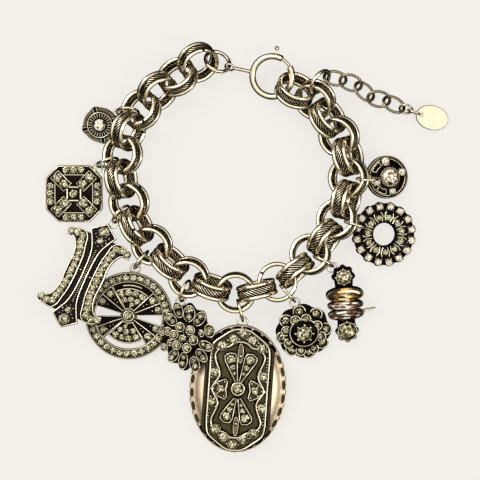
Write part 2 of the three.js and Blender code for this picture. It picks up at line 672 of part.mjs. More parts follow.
const firstWay = extensionWay(extensionHeadings[0]);
const farSide = Array.from({ length: 360 }, (_, angle) => endRings[1].onRing(angle))
  .reduce((best, point) => (point.dot(firstWay) > best.dot(firstWay) ? point : best));
const extensionAt = farSide.addScaledVector(firstWay, extensionInner - endRingWire * 0.7);
extensionHeadings.forEach((heading, index) => {
  if (index > 0) {
    extensionAt.addScaledVector(extensionWay((heading + extensionHeadings[index - 1]) / 2), extensionPitch);
  }
  const link = wireRing((extensionLinkWidth - extensionWire) / 2, extensionWire, 10).scale(extensionStretch, 1, 1);
  const roll = index % 2 === 0 ? -extensionRoll : extensionRoll;
  add(`extension_link_${index + 1}`, link, polished, extensionMatrix(extensionAt, heading, roll));
});

// Two small rings lead from the last link to the tag
const tagRingMidRadius = tagRingRadius - tagRingWire / 2;
const tagRingInner = tagRingRadius - tagRingWire;
const tagRingWay = extensionWay(tagRingHeading);
tagRingRolls.forEach((roll, index) => {
  const reach = index === 0 ? extensionInner : tagRingInner;
  extensionAt.addScaledVector(tagRingWay, reach + tagRingInner - tagRingPlay);
  add(`tag_ring_${index + 1}`, wireRing(tagRingMidRadius, tagRingWire, jumpRingSides), polished,
    extensionMatrix(extensionAt, tagRingHeading, roll));
});

// The tag, held by its hole on the second ring and sloped to the plane z = 0
const tagOutline = ring(1, 20).map(([x, y]) => [x * tagHalfLength, y * tagHalfWidth]);
const tagHoleAt = new THREE.Vector3(tagHoleRadius * 1.7 - tagHalfLength, 0, tagThickness / 2);
const tag = cut(solidOf(slab(tagOutline, 0, tagThickness)), [disc(tagHoleRadius, -1, 1, 8, tagHoleAt.x, 0)]);
const tagSpin = tagRingHeading + tagHeadingTurn;
const tagHeading = new THREE.Vector3(...polar(1, tagSpin), 0);
const tagSlack = (tagHoleRadius - tagRingWire / 2) / 2;
const tagEyeAt = extensionAt.clone().addScaledVector(tagRingWay, tagRingMidRadius + tagSlack);
const tagSlope = restingSlope(tag, tagHoleAt, tagEyeAt, tagHeading, tagSpin, 0);
add("tag", geometryOf(tag), pale, charmMatrix(tagHoleAt, tagEyeAt, tagHeading, tagSpin, tagSlope, 0));

// The middle of the underside of the whole bracelet becomes the origin
const bounds = new THREE.Box3().setFromObject(bracelet, true);
const foot = bounds.getCenter(new THREE.Vector3()).setZ(bounds.min.z);
bracelet.children.forEach((mesh) => mesh.position.sub(foot));

export default bracelet;
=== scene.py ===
"""Charm bracelet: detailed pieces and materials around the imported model, seen from straight above."""

import json
import math

import bpy
import numpy as np
from mathutils import Matrix, Vector, noise


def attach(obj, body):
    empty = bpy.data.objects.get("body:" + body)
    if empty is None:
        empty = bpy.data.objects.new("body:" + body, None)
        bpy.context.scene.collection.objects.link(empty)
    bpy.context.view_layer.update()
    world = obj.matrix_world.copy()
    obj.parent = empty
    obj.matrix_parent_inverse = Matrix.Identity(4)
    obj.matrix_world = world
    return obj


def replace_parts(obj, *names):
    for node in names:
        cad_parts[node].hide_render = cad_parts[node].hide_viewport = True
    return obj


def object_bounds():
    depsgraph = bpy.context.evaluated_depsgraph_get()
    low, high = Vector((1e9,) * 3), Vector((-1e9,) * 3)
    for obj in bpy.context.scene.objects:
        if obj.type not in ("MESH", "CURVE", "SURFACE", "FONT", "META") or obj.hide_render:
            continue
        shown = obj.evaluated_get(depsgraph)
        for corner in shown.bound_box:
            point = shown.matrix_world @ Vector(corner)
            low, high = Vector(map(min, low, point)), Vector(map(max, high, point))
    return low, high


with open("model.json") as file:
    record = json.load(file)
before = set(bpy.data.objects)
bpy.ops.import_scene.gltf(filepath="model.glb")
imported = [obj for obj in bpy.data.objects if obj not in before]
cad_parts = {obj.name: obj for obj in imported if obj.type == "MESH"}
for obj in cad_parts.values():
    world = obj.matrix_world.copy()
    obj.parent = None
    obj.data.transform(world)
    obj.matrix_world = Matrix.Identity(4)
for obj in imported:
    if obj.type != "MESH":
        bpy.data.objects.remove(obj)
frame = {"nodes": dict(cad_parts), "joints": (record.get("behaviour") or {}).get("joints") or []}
cad_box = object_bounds()

# Lengths in this script are in millimetres, unless they go straight to Blender
MM = 0.001
TAU = math.tau
PIXEL = 0.26
UP = Vector((0, 0, 1))


# Where the pieces stand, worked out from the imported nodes

def points_of(node):
    mesh = frame["nodes"][node].data
    rows = np.array([vertex.co for vertex in mesh.vertices]) / MM
    return np.unique(rows.round(4), axis=0)


def nodes_named(start):
    return sorted(node for node in frame["nodes"] if node.startswith(start))


def axes_to_matrix(x_axis, z_axis, middle):
    """A place with its Z along z_axis and its X as near x_axis as that allows."""
    z_way = Vector(z_axis).normalized()
    y_way = z_way.cross(Vector(x_axis)).normalized()
    turn = Matrix((y_way.cross(z_way), y_way, z_way)).transposed()
    return Matrix.Translation(Vector(middle)) @ turn.to_4x4()


def ring_place(node, long_way=False):
    """A ring's middle and axis: its points spread least along its axis, and most along its long way."""
    points = points_of(node)
    middle = points.mean(axis=0)
    ways = np.linalg.eigh(np.cov((points - middle).T))[1]
    axis = Vector(ways[:, 0])
    if axis.z < 0:
        axis.negate()
    return axes_to_matrix(ways[:, 2] if long_way else axis.orthogonal(), axis, middle)


def plate_place(node, spin):
    """A flat-backed piece: the middle of its back is its origin, and it has a turn in its own plane."""
    mesh = frame["nodes"][node].data
    downward = [face for face in mesh.polygons if face.normal.z < -0.5]
    back = max(downward, key=lambda face: face.area)
    level = back.normal.dot(back.center)
    area, middle = 0.0, Vector()
    for face in downward:
        flush = abs(back.normal.dot(face.center) - level) < 0.01 * MM
        if flush and face.normal.dot(back.normal) > 0.9999:
            area += face.area
            middle += face.center * face.area
    face_up = -back.normal
    turn = UP.rotation_difference(face_up).to_matrix().to_4x4() @ Matrix.Rotation(math.radians(spin), 4, "Z")
    return Matrix.Translation(middle / area / MM) @ turn


NUB_ANGLE = 78


def clasp_place():
    """The clasp's middle and axis are its joint's, and the nub on its gate gives its turn."""
    joint = frame["joints"][0]
    middle, axis = Vector(joint["pos_m"]) / MM, Vector(joint["axis"])
    out = [Vector(point) - middle for point in points_of("clasp_gate")]
    nub = max(out, key=lambda way: way.length)
    x_way = Matrix.Rotation(math.radians(-NUB_ANGLE), 3, axis) @ nub
    return axes_to_matrix(x_way, axis, middle)


# Camera, floor and light

PHOTO_MIDDLE = Vector((-1.295, 2.084, 4.0))
PHOTO_SIDE = 480
LENS = 200.0
SENSOR = 36.0


def add_object(name, data):
    made = bpy.data.objects.new(name, data)
    bpy.context.scene.collection.objects.link(made)
    return made


def add_camera():
    data = bpy.data.cameras.new("camera")
    data.lens = LENS
    data.sensor_width = SENSOR
    data.clip_start = 0.05
    data.clip_end = 5
    camera = add_object("camera", data)
    height = PHOTO_SIDE * PIXEL * LENS / SENSOR
    camera.location = (PHOTO_MIDDLE + UP * height) * MM
    bpy.context.scene.camera = camera


def new_material(name):
    material = bpy.data.materials.new(name)
    material.use_nodes = True
    return material, material.node_tree, material.node_tree.nodes["Principled BSDF"]


def set_inputs(node, **values):
    """Sets a node's inputs, whose names have spaces where these have underscores."""
    for name, value in values.items():
        node.inputs[name.replace("_", " ")].default_value = value


def color_by(tree, value, stops, target):
    """Colours an input by a value, through a ramp with these stops."""
    node = tree.nodes.new("ShaderNodeValToRGB")
    elements = node.color_ramp.elements
    while len(elements) < len(stops):
        elements.new(0.5)
    for element, (position, color) in zip(elements, stops):
        element.position = position
        element.color = (*color, 1)
    tree.links.new(value, node.inputs["Fac"])
    tree.links.new(node.outputs["Color"], target)


def math_node(tree, operation, first, second):
    node = tree.nodes.new("ShaderNodeMath")
    node.operation = operation
    for socket, value in zip(node.inputs, (first, second)):
        if isinstance(value, (int, float)):
            socket.default_value = value
        else:
            tree.links.new(value, socket)
    return node.outputs[0]


def noise_node(tree, scale):
    place = tree.nodes.new("ShaderNodeTexCoord")
    node = tree.nodes.new("ShaderNodeTexNoise")
    set_inputs(node, Scale=scale, Detail=4.0)
    tree.links.new(place.outputs["Object"], node.inputs["Vector"])
    return node.outputs["Fac"]


def painted_light_and_patina_node(tree):
    """The value that each point of a piece was given when it was made: painted shade with patina and wear on
    metal, painted light on stones.
    """
    node = tree.nodes.new("ShaderNodeAttribute")
    node.attribute_name = "painted_light_and_patina"
    return node.outputs["Fac"]


def clouded(tree, value, scale, amount):
    """A value with soft blotches added to it."""
    blotch = math_node(tree, "SUBTRACT", noise_node(tree, scale), 0.5)
    return math_node(tree, "ADD", value, math_node(tree, "MULTIPLY", blotch, amount))


def antique_metal(name, stops, rough, crevice_shade_and_patina=0.6):
    """Pale metal, worn bright where it stands proud, and darkened in its crevices by painted shade with
    patina.
    """
    material, tree, shader = new_material(name)
    set_inputs(shader, Metallic=1.0)
    # Painted shade with patina: the base colour is darkened where ambient occlusion finds a point hidden in a
    # crevice.
    crevice = tree.nodes.new("ShaderNodeAmbientOcclusion")
    crevice.samples = 8
    set_inputs(crevice, Distance=0.8 * MM)
    hidden = math_node(tree, "SUBTRACT", 1.0, crevice.outputs["AO"])
    hidden = math_node(tree, "MULTIPLY", hidden, crevice_shade_and_patina)
    shade = math_node(tree, "ADD", painted_light_and_patina_node(tree), hidden)
    color_by(tree, clouded(tree, shade, 420.0, 0.2), stops, shader.inputs["Base Color"])
    fine = noise_node(tree, 2600.0)
    spread = math_node(tree, "MULTIPLY", fine, 0.14)
    tree.links.new(math_node(tree, "ADD", spread, rough), shader.inputs["Roughness"])
    relief = tree.nodes.new("ShaderNodeBump")
    set_inputs(relief, Strength=0.12, Distance=0.03 * MM)
    tree.links.new(fine, relief.inputs["Height"])
    tree.links.new(relief.outputs["Normal"], shader.inputs["Normal"])
    return material


def enamel(name, color, speckle):
    """Glossy dark enamel with faint clouds."""
    material, tree, shader = new_material(name)
    color_by(tree, noise_node(tree, 900.0), [(0.35, color), (0.75, speckle)], shader.inputs["Base Color"])
    set_inputs(shader, Roughness=0.25, Specular_IOR_Level=0.05)
    return material


def cut_stone(name, stops):
    """A cut stone: each facet has its own share of the light that the stone sends back."""
    material, tree, shader = new_material(name)
    light = clouded(tree, painted_light_and_patina_node(tree), 1500.0, 0.4)
    color_by(tree, light, stops, shader.inputs["Base Color"])
    set_inputs(shader, Roughness=0.08, Specular_IOR_Level=0.25)
    return material


MATERIALS = {
    "chain": antique_metal("chain_metal", [
        (0.14, (1.0, 0.91, 0.71)), (0.3, (0.6, 0.5, 0.33)),
        (0.44, (0.06, 0.04, 0.019)), (0.56, (0.0012, 0.0008, 0.0005)),
    ], 0.19, crevice_shade_and_patina=0.7),
    "ring": antique_metal("ring_metal", [
        (0.0, (0.95, 0.87, 0.68)), (0.3, (0.52, 0.43, 0.28)),
        (0.54, (0.1, 0.07, 0.036)), (0.8, (0.006, 0.004, 0.002)),
    ], 0.18, crevice_shade_and_patina=0.75),
    "metal": antique_metal("charm_metal", [
        (0.0, (0.96, 0.9, 0.72)), (0.28, (0.44, 0.38, 0.24)),
        (0.54, (0.085, 0.07, 0.036)), (0.78, (0.004, 0.003, 0.0015)),
    ], 0.18, crevice_shade_and_patina=0.85),
    "satin": antique_metal("satin_metal", [
        (0.0, (1.0, 0.86, 0.66)), (0.35, (0.68, 0.55, 0.4)),
        (0.6, (0.2, 0.15, 0.09)), (0.95, (0.015, 0.011, 0.006)),
    ], 0.45),
    "tag": antique_metal("tag_metal", [
        (0.0, (0.68, 0.65, 0.5)), (0.4, (0.56, 0.5, 0.35)), (1.0, (0.25, 0.19, 0.12)),
    ], 0.34),
    "black": enamel("black_enamel", (0.001, 0.0008, 0.0006), (0.005, 0.0035, 0.002)),
    "brown": enamel("brown_enamel", (0.002, 0.0013, 0.0008), (0.014, 0.008, 0.004)),
    "pale": cut_stone("pale_stone", [
        (0.08, (0.008, 0.006, 0.003)), (0.4, (0.13, 0.11, 0.045)),
        (0.66, (0.55, 0.51, 0.29)), (0.92, (1.0, 0.97, 0.78)),
    ]),
    "clear": cut_stone("clear_stone", [
        (0.06, (0.008, 0.006, 0.004)), (0.3, (0.22, 0.18, 0.11)),
        (0.52, (0.78, 0.7, 0.51)), (0.8, (1.0, 0.97, 0.84)),
    ]),
    "golden": cut_stone("golden_stone", [
        (0.05, (0.012, 0.006, 0.002)), (0.3, (0.16, 0.07, 0.015)),
        (0.55, (0.8, 0.5, 0.12)), (0.75, (1.0, 0.85, 0.42)),
        (0.95, (1.0, 0.98, 0.85)),
    ]),
    "rose": cut_stone("rose_stone", [
        (0.05, (0.01, 0.005, 0.003)), (0.3, (0.1, 0.04, 0.02)),
        (0.55, (0.45, 0.3, 0.2)), (0.8, (0.95, 0.86, 0.76)),
        (0.95, (1.0, 0.98, 0.94)),
    ]),
}


def add_floor():
    material, _, shader = new_material("floor")
    set_inputs(shader, Base_Color=(0.12, 0.117, 0.112, 1), Roughness=0.9, Specular_IOR_Level=0.0,
               Emission_Color=(0.887, 0.863, 0.823, 1), Emission_Strength=0.86)
    data = bpy.data.meshes.new("floor")
    reach = 3.0
    corners = [(-reach, -reach, 0), (reach, -reach, 0), (reach, reach, 0), (-reach, reach, 0)]
    data.from_pydata(corners, [], [(0, 1, 2, 3)])
    data.materials.append(material)
    floor = add_object("floor", data)
    floor.location.z = cad_box[0].z - 0.02 * MM
    floor.visible_glossy = False


def add_world():
    world = bpy.data.worlds.new("studio")
    world.use_nodes = True
    bpy.context.scene.world = world
    tree = world.node_tree
    place = tree.nodes.new("ShaderNodeTexCoord")
    split = tree.nodes.new("ShaderNodeSeparateXYZ")
    tree.links.new(place.outputs["Generated"], split.inputs[0])
    color_by(tree, split.outputs["Z"], [
        (0.0, (0.003, 0.002, 0.0015)), (0.28, (0.007, 0.005, 0.003)), (0.44, (0.11, 0.09, 0.06)),
        (0.62, (0.7, 0.64, 0.52)), (0.85, (1.1, 1.06, 0.97)),
    ], tree.nodes["Background"].inputs["Color"])


def add_light(name, place, size, power):
    data = bpy.data.lights.new(name, "AREA")
    data.shape = "RECTANGLE"
    data.size, data.size_y = size
    data.energy = power
    data.color = (1.0, 0.985, 0.95)
    light = add_object(name, data)
    light.location = place
    light.rotation_euler = Vector(place).to_track_quat("Z", "Y").to_euler()


# Shapes, in millimetres, gathered by material and made into one mesh for each

STONE_SIDES = 8
STONE_RISE = 0.34
WIRE_SIDES = 6
CURVE_STEPS = 4


def skin(rows, count, closed=False):
    """The faces between rows of points, each of which is a closed loop."""
    faces = []
    for row in range(rows if closed else rows - 1):
        here, there = row * count, (row + 1) % rows * count
        for i in range(count):
            j = (i + 1) % count
            faces.append((here + i, here + j, there + j, there + i))
    return faces


class Shapes:
    """Gathers points, each with its painted light and patina, and faces, for the pieces of one part."""

    def __init__(self):
        self.parts = {}

    def add(self, material, points, faces, painted_light_and_patina, flat=False, place=None):
        part = self.parts.setdefault(material, ([], [], [], []))
        start = len(part[0])
        if place is not None:
            points = [tuple(place @ Vector(point)) for point in points]
        part[0].extend(points)
        part[1].extend([tuple(i + start for i in face) for face in faces])
        part[2].extend(painted_light_and_patina)
        part[3].extend([not flat] * len(faces))

    def lathe(self, material, profile, sides=32, x=0.0, y=0.0, squash=1.0):
        """Turned about an upright axis. A profile's rows: radius, height, painted shade with patina."""
        points, faces, painted_light_and_patina = [], [], []
        count = len(profile)
        for i in range(sides):
            angle = TAU * i / sides
            for radius, height, shade in profile:
                points.append((x + radius * math.cos(angle), y + radius * squash * math.sin(angle), height))
                painted_light_and_patina.append(shade)
            for j in range(count - 1):
                a, b = i * count + j, ((i + 1) % sides) * count + j
                faces.append((a, b, b + 1, a + 1))
        self.add(material, points, faces, painted_light_and_patina)

    def slab(self, material, outline, bottom, top, edge=0.12, shade=0.0, side=0.35):
        """A plate with a chamfered edge, from an outline listed counterclockwise."""
        count = len(outline)
        points = [(x, y, bottom) for x, y in outline] + [(x, y, top - edge) for x, y in outline]
        points += [(x, y, top) for x, y in inset(outline, edge)]
        # Painted shade: the chamfered sides are darker than the top, and darker still at their foot.
        painted_light_and_patina = [side + 0.3] * count + [side] * count + [shade] * count
        faces = [tuple(range(2 * count, 3 * count)), tuple(reversed(range(count)))] + skin(3, count)
        self.add(material, points, faces, painted_light_and_patina, flat=True)

    def bar(self, material, start, end, width, bottom, top, far=None, edge=0.06, shade=0.0):
        far = width if far is None else far
        way = (Vector(end) - Vector(start)).normalized()
        side = Vector((-way.y, way.x))
        corners = [(start, -width), (end, -far), (end, far), (start, width)]
        outline = [tuple(Vector(at) + side * reach / 2) for at, reach in corners]
        self.slab(material, outline, bottom, top, edge, shade)

    def wire(self, material, path, radius, height, closed=True, shade=0.0):
        """A thin wire laid along a flat path."""
        points, painted_light_and_patina = [], []
        count = len(path)
        for i, (x, y) in enumerate(path):
            before = path[i - 1] if closed or i else path[i]
            after = path[(i + 1) % count] if closed or i < count - 1 else path[i]
            way = (Vector(after) - Vector(before)).normalized()
            for j in range(WIRE_SIDES):
                angle = TAU * j / WIRE_SIDES
                out = radius * math.cos(angle)
                points.append((x - way.y * out, y + way.x * out, height + radius * math.sin(angle)))
                # Painted shade: the wire is darker on its underside.
                painted_light_and_patina.append(shade + 0.25 * (1 - math.sin(angle)))
        self.add(material, points, skin(count, WIRE_SIDES, closed), painted_light_and_patina)

    def bead(self, x, y, z, radius, material="metal", sides=10):
        """A ball, with painted shade that darkens it towards its foot."""
        profile = []
        for i in range(6):
            angle = math.pi * (1 - i / 5 * 0.999)
            shade = 0.8 * (1 - i / 5) ** 2
            profile.append((radius * math.sin(angle), z + radius * math.cos(angle), shade))
        self.lathe(material, profile, sides, x, y)

    def gem(self, x, y, z, radius, material="pale", turn=0.0, dark=0.0):
        """A cut stone: its table, its crown and its girdle, each facet painted with its own share of light:
        reflections break up the table, the crown is lit from one side, and the girdle is painted dark with
        shade.
        """
        sides = STONE_SIDES

        def loop(share, level, offset):
            found = []
            for i in range(sides):
                angle = TAU * (i + offset) / sides
                along, across = radius * share * math.cos(angle), radius * share * math.sin(angle)
                found.append((x + along * math.cos(turn) - across * math.sin(turn),
                              y + along * math.sin(turn) + across * math.cos(turn), level))
            return found

        def shade(i, kind):
            seed = Vector((x * 3.71 + i * 1.37, y * 2.93 + kind * 5.3, 0.5))
            return noise.noise(seed) * 0.9 - dark

        top = z + radius * STONE_RISE
        crown = z + radius * STONE_RISE * 0.15
        loops = loop(0.32, top, 0.5) + loop(0.64, top, 0.0) + loop(0.96, crown, 0.5) + loop(1.06, z, 0.5)
        points = loops + loop(1.06, z - 0.3, 0.5) + [(x, y, top)]
        inner, table, girdle, rim, base, centre = [level * sides for level in range(6)]
        for i in range(sides):
            j = (i + 1) % sides
            # Painted light: crown facets turned one way are lighter, those turned away darker.
            side_light = 0.28 * math.cos(TAU * (i + 1) / sides + turn - 2.4)
            facets = [
                ((centre, inner + i, inner + j), 0.78 + shade(i, 0)),
                ((inner + i, table + i, table + j), 0.52 + shade(i, 1)),
                ((inner + i, table + j, inner + j), 0.16 + shade(i, 2)),
                ((table + i, girdle + i, table + j), 0.64 + side_light + shade(i, 3)),
                ((table + j, girdle + i, girdle + j), 0.26 + side_light + shade(i, 4)),
                # Painted shade: the girdle and the stone's foot are dark.
                ((girdle + i, rim + i, rim + j, girdle + j), 0.0),
                ((rim + i, base + i, base + j, rim + j), 0.0),
            ]
            for face, value in facets:
                corners = [points[k] for k in face]
                value = min(1.0, max(0.0, value))
                self.add(material, corners, [tuple(range(len(face)))], [value] * len(face), flat=True)

    def claws(self, x, y, z, reach, count, radius, start=0.0, sides=8):
        """Beads evenly round a stone."""
        for px, py in circle(reach, count, start, x=x, y=y):
            self.bead(px, py, z, radius, sides=sides)

    def collet(self, x, y, bottom, top, radius, wall, sides=16):
        """A plain rim round a stone, painted darker towards its foot with shade."""
        outer = radius + wall
        self.lathe("metal", [
            (outer, bottom, 0.7), (outer, top - wall * 0.4, 0.1), (radius + wall * 0.6, top, 0.0),
            (radius, top - 0.05, 0.2), (radius, bottom, 0.8),
        ], sides, x, y)

    def torus(self, material, middle, thick, tall, around=48, sides=12, place=None,
              seam=None, twist=0, groove=0.0, stretch=1.0, start=0.0, end=360.0):
        """A ring of wire about Z. A twist grooves it like a rope, and a seam is where its ends meet."""
        points, painted_light_and_patina, faces = [], [], []
        whole = end - start >= 360
        steps = around if whole else around + 1
        for i in range(steps):
            turn = math.radians(start + (end - start) * i / around)
            apart = 360 if seam is None else abs((math.degrees(turn) - seam + 180) % 360 - 180)
            gap = apart < 200 / around
            for j in range(sides):
                section = TAU * j / sides
                ridge = abs(math.sin(0.5 * (twist * turn + 3 * section))) if twist else 1.0
                share = (1 - groove * (1 - ridge)) * (0.78 if gap else 1.0)
                out = middle + thick * share * math.cos(section)
                height = tall * share * math.sin(section)
                points.append((out * math.cos(turn) * stretch, out * math.sin(turn), height))
                # Painted shade with patina darkens the rope's grooves; the seam where the ends meet is a dark
                # joint.
                painted_light_and_patina.append(0.02 + 0.9 * (1 - ridge) + (0.8 if gap else 0.0))
            if whole or i < around:
                for j in range(sides):
                    k = (j + 1) % sides
                    here, there = i * sides, ((i + 1) % steps) * sides
                    faces.append((here + j, there + j, there + k, here + k))
        if not whole:
            faces += [tuple(reversed(range(sides))), tuple(range(around * sides, (around + 1) * sides))]
        self.add(material, points, faces, painted_light_and_patina, place=place)

    def eye(self, x, y, across=False):
        """The wire loop that a jump ring passes through, flat beyond the edge or standing on the face."""
        middle, thick = 1.25, 0.25
        height = 1.0 + middle - thick / 2 if across else 0.5
        place = Matrix.Translation((x, y, height))
        if across:
            place = place @ Matrix.Rotation(math.pi / 2, 4, "Y")
        self.torus("metal", middle, thick, thick, 24, 8, place)

    def meshes(self, name):
        """One mesh for each material."""
        made = {}
        for material, (points, faces, painted_light_and_patina, rounded) in self.parts.items():
            data = bpy.data.meshes.new(f"{name}_{material}")
            data.from_pydata([(x * MM, y * MM, z * MM) for x, y, z in points], [], faces)
            data.attributes.new("painted_light_and_patina", "FLOAT", "POINT").data.foreach_set("value", painted_light_and_patina)
            data.polygons.foreach_set("use_smooth", rounded)
            data.materials.append(MATERIALS[material])
            data.update()
            made[material] = data
        return made

    def build(self, name, node, place, body="bracelet"):
        """One piece for each material, the first of which stands for the node."""
        made = [show(f"{name}_{material}", data, place, body)
                for material, data in self.meshes(name).items()]
        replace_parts(made[0], node)


def show(name, data, place, body):
    """Adds a piece to the scene, its turn worked into its mesh so that its own box fits it closely."""
    data.transform(place.to_3x3().to_4x4())
    piece = add_object(name, data)
    piece.matrix_world = Matrix.Translation(place.translation * MM)
    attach(piece, body)
    return piece


def inset(outline, amount):
    """The outline moved inwards by the same amount all round."""
    moved = []
    for i, here in enumerate(outline):
        before, after = Vector(outline[i - 1]), Vector(outline[(i + 1) % len(outline)])
        point = Vector(here)
        first, second = (point - before).normalized(), (after - point).normalized()
        first_in, second_in = Vector((-first.y, first.x)), Vector((-second.y, second.x))
        middle = (first_in + second_in).normalized() if (first_in + second_in).length > 0.01 else first_in
        moved.append(tuple(point + middle * amount / max(0.5, middle.dot(first_in))))
    return moved


def polar(radius, angle):
    return radius * math.cos(math.radians(angle)), radius * math.sin(math.radians(angle))


def circle(radius, count, offset=0.0, squash=1.0, x=0.0, y=0.0):
    found = [polar(radius, offset + 360 * i / count) for i in range(count)]
    return [(x + px, y + py * squash) for px, py in found]


def arc(radius, start, end, count):
    return [polar(radius, start + (end - start) * i / (count - 1)) for i in range(count)]


def sector(inner, outer, start, end, count=10):
    return arc(outer, start, end, count) + arc(inner, end, start, count)


def turned(points, angle, x=0.0, y=0.0):
    cos, sin = math.cos(math.radians(angle)), math.sin(math.radians(angle))
    return [(x + px * cos - py * sin, y + px * sin + py * cos) for px, py in points]


def spot(x, y, angle, *middle):
    """One point turned about its origin, which is then moved to the middle."""
    return turned([(x, y)], angle, *middle)[0]


def curve_through(points, closed=True):
    """A smooth curve through the points."""
    found, count = [], len(points)
    for i in range(count if closed else count - 1):
        near = [(i + k) % count if closed else min(max(i + k, 0), count - 1) for k in (-1, 0, 1, 2)]
        a, b, c, d = [Vector(points[k]) for k in near]
        for step in range(CURVE_STEPS):
            t = step / CURVE_STEPS
            square, cube = a * 2 - b * 5 + c * 4 - d, b * 3 - a - c * 3 + d
            double = b * 2 + (c - a) * t + square * t * t + cube * t ** 3
            found.append(tuple(double / 2))
    if not closed:
        found.append(tuple(points[-1]))
    return found


def spaced(path, count):
    """Points at even steps along an open path."""
    lengths = [0.0]
    for a, b in zip(path, path[1:]):
        lengths.append(lengths[-1] + (Vector(b) - Vector(a)).length)
    wanted = [lengths[-1] * i / (count - 1) for i in range(count)]
    xs = np.interp(wanted, lengths, [x for x, _ in path])
    ys = np.interp(wanted, lengths, [y for _, y in path])
    return list(zip(xs.tolist(), ys.tolist()))


def read_off(middle, pixels, spin=0.0):
    """Places read off the photograph, in pixels, in the plane of a charm with that middle and turn."""
    offsets = [((x - middle[0]) * PIXEL, (middle[1] - y) * PIXEL) for x, y in pixels]
    return turned(offsets, -spin)


# Chain

LINK_MIDDLE = 4.7
ROPE_RIDGES = 32
ROPE_TURNS = 9
RIDGE_STEPS = 5
ROPE_SIDES = 18
PLAIN_RING_AT = 1.5
PLAIN_RING_THICK = 0.54
PLAIN_RING_TALL = 0.58
LINK_SEAMS = [(None, 40), (250, None), (None, None), (130, 200)]
LINK_TURN = 2.4


def rope_band(shapes):
    """A band of rope twist, rounded in section, its grooves running across it on the slant."""
    around = ROPE_RIDGES * RIDGE_STEPS
    points, painted_light_and_patina, faces = [], [], []
    for i in range(around):
        hollow = (1.0, 0.8, 0.0, 0.0, 0.4)[i % RIDGE_STEPS]
        for j in range(ROPE_SIDES):
            section = TAU * j / ROPE_SIDES
            turn = TAU * (i / RIDGE_STEPS - ROPE_TURNS * j / ROPE_SIDES) / ROPE_RIDGES
            out = LINK_MIDDLE + (0.5 - 0.2 * hollow) * math.cos(section)
            points.append((*polar(out, math.degrees(turn)), (1.16 - 0.14 * hollow) * math.sin(section)))
            # Painted shade with patina: darker in the hollows between the ridges, and towards the band's
            # edges, where it meets the plain rings.
            painted_light_and_patina.append(1.2 * hollow + 0.55 * abs(math.sin(section)) ** 3)
            k = (j + 1) % ROPE_SIDES
            shift = 0 if k else ROPE_TURNS * RIDGE_STEPS
            here, there = [((i + step) % around) * ROPE_SIDES + j for step in (0, 1)]
            past, beyond = [((i + step - shift) % around) * ROPE_SIDES + k for step in (0, 1)]
            faces.append((here, there, beyond, past))
    shapes.add("chain", points, faces, painted_light_and_patina)


def link_mesh(index, seams):
    shapes = Shapes()
    rope_band(shapes)
    for side, seam in zip((-1, 1), seams):
        place = Matrix.Translation((0, 0, side * PLAIN_RING_AT))
        shapes.torus("chain", LINK_MIDDLE, PLAIN_RING_THICK, PLAIN_RING_TALL, 64, 12, place, seam)
    return shapes.meshes(f"link_{index}")["chain"]


def add_chain():
    kinds = [link_mesh(i, seams) for i, seams in enumerate(LINK_SEAMS)]
    for index, node in enumerate(nodes_named("link_")):
        place = ring_place(node) @ Matrix.Rotation(index * LINK_TURN, 4, "Z")
        data = kinds[index % len(kinds)].copy()
        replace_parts(show(f"chain_{node}", data, place, "bracelet"), node)


# The middle radius and the wire of each kind of ring
JUMP_RING = (2.85, 0.7)
END_RING = (3.3, 1.0)
EXTENSION_RING = (2.4, 0.8)
EXTENSION_STRETCH = 6.8 / 5.6
TAG_RING = (1.65, 0.6)


def add_ring(node, middle, wire, **facts):
    shapes = Shapes()
    shapes.torus("ring", middle, wire / 2, wire / 2, **facts)
    shapes.build(f"bright_{node}", node, ring_place(node, long_way="stretch" in facts))


def add_rings():
    for index, node in enumerate(nodes_named("jump_ring_")):
        add_ring(node, *JUMP_RING, seam=40 + 70 * index)
    add_ring("end_ring_1", *END_RING, seam=250)
    add_ring("end_ring_2", *END_RING, seam=150)
    for node in nodes_named("extension_link_"):
        add_ring(node, *EXTENSION_RING, around=110, twist=22, groove=0.4, stretch=EXTENSION_STRETCH)
    for node in nodes_named("tag_ring"):
        add_ring(node, *TAG_RING, seam=200)


# Clasp

CLASP_MIDDLE = 5.25
CLASP_TUBE = 0.85
CLASP_BORE = 0.63
GATE_WIRE = 0.4
NUB_REACH = 7.4
NECK_WIDTH = 0.45
EYE_MIDDLE = 1.15


def cut_away(data, cutters):
    """The mesh less the cutters' meshes."""
    for cutter in cutters:
        whole, tool = add_object("whole", data), add_object("tool", cutter)
        modifier = whole.modifiers.new("cut", "BOOLEAN")
        modifier.operation = "DIFFERENCE"
        modifier.solver = "EXACT"
        modifier.object = tool
        evaluated = whole.evaluated_get(bpy.context.evaluated_depsgraph_get())
        data = bpy.data.meshes.new_from_object(evaluated)
        for piece in (whole, tool):
            bpy.data.objects.remove(piece)
    return data


def lone_mesh(make):
    shapes = Shapes()
    make(shapes)
    (data,) = shapes.meshes("cutter").values()
    return data


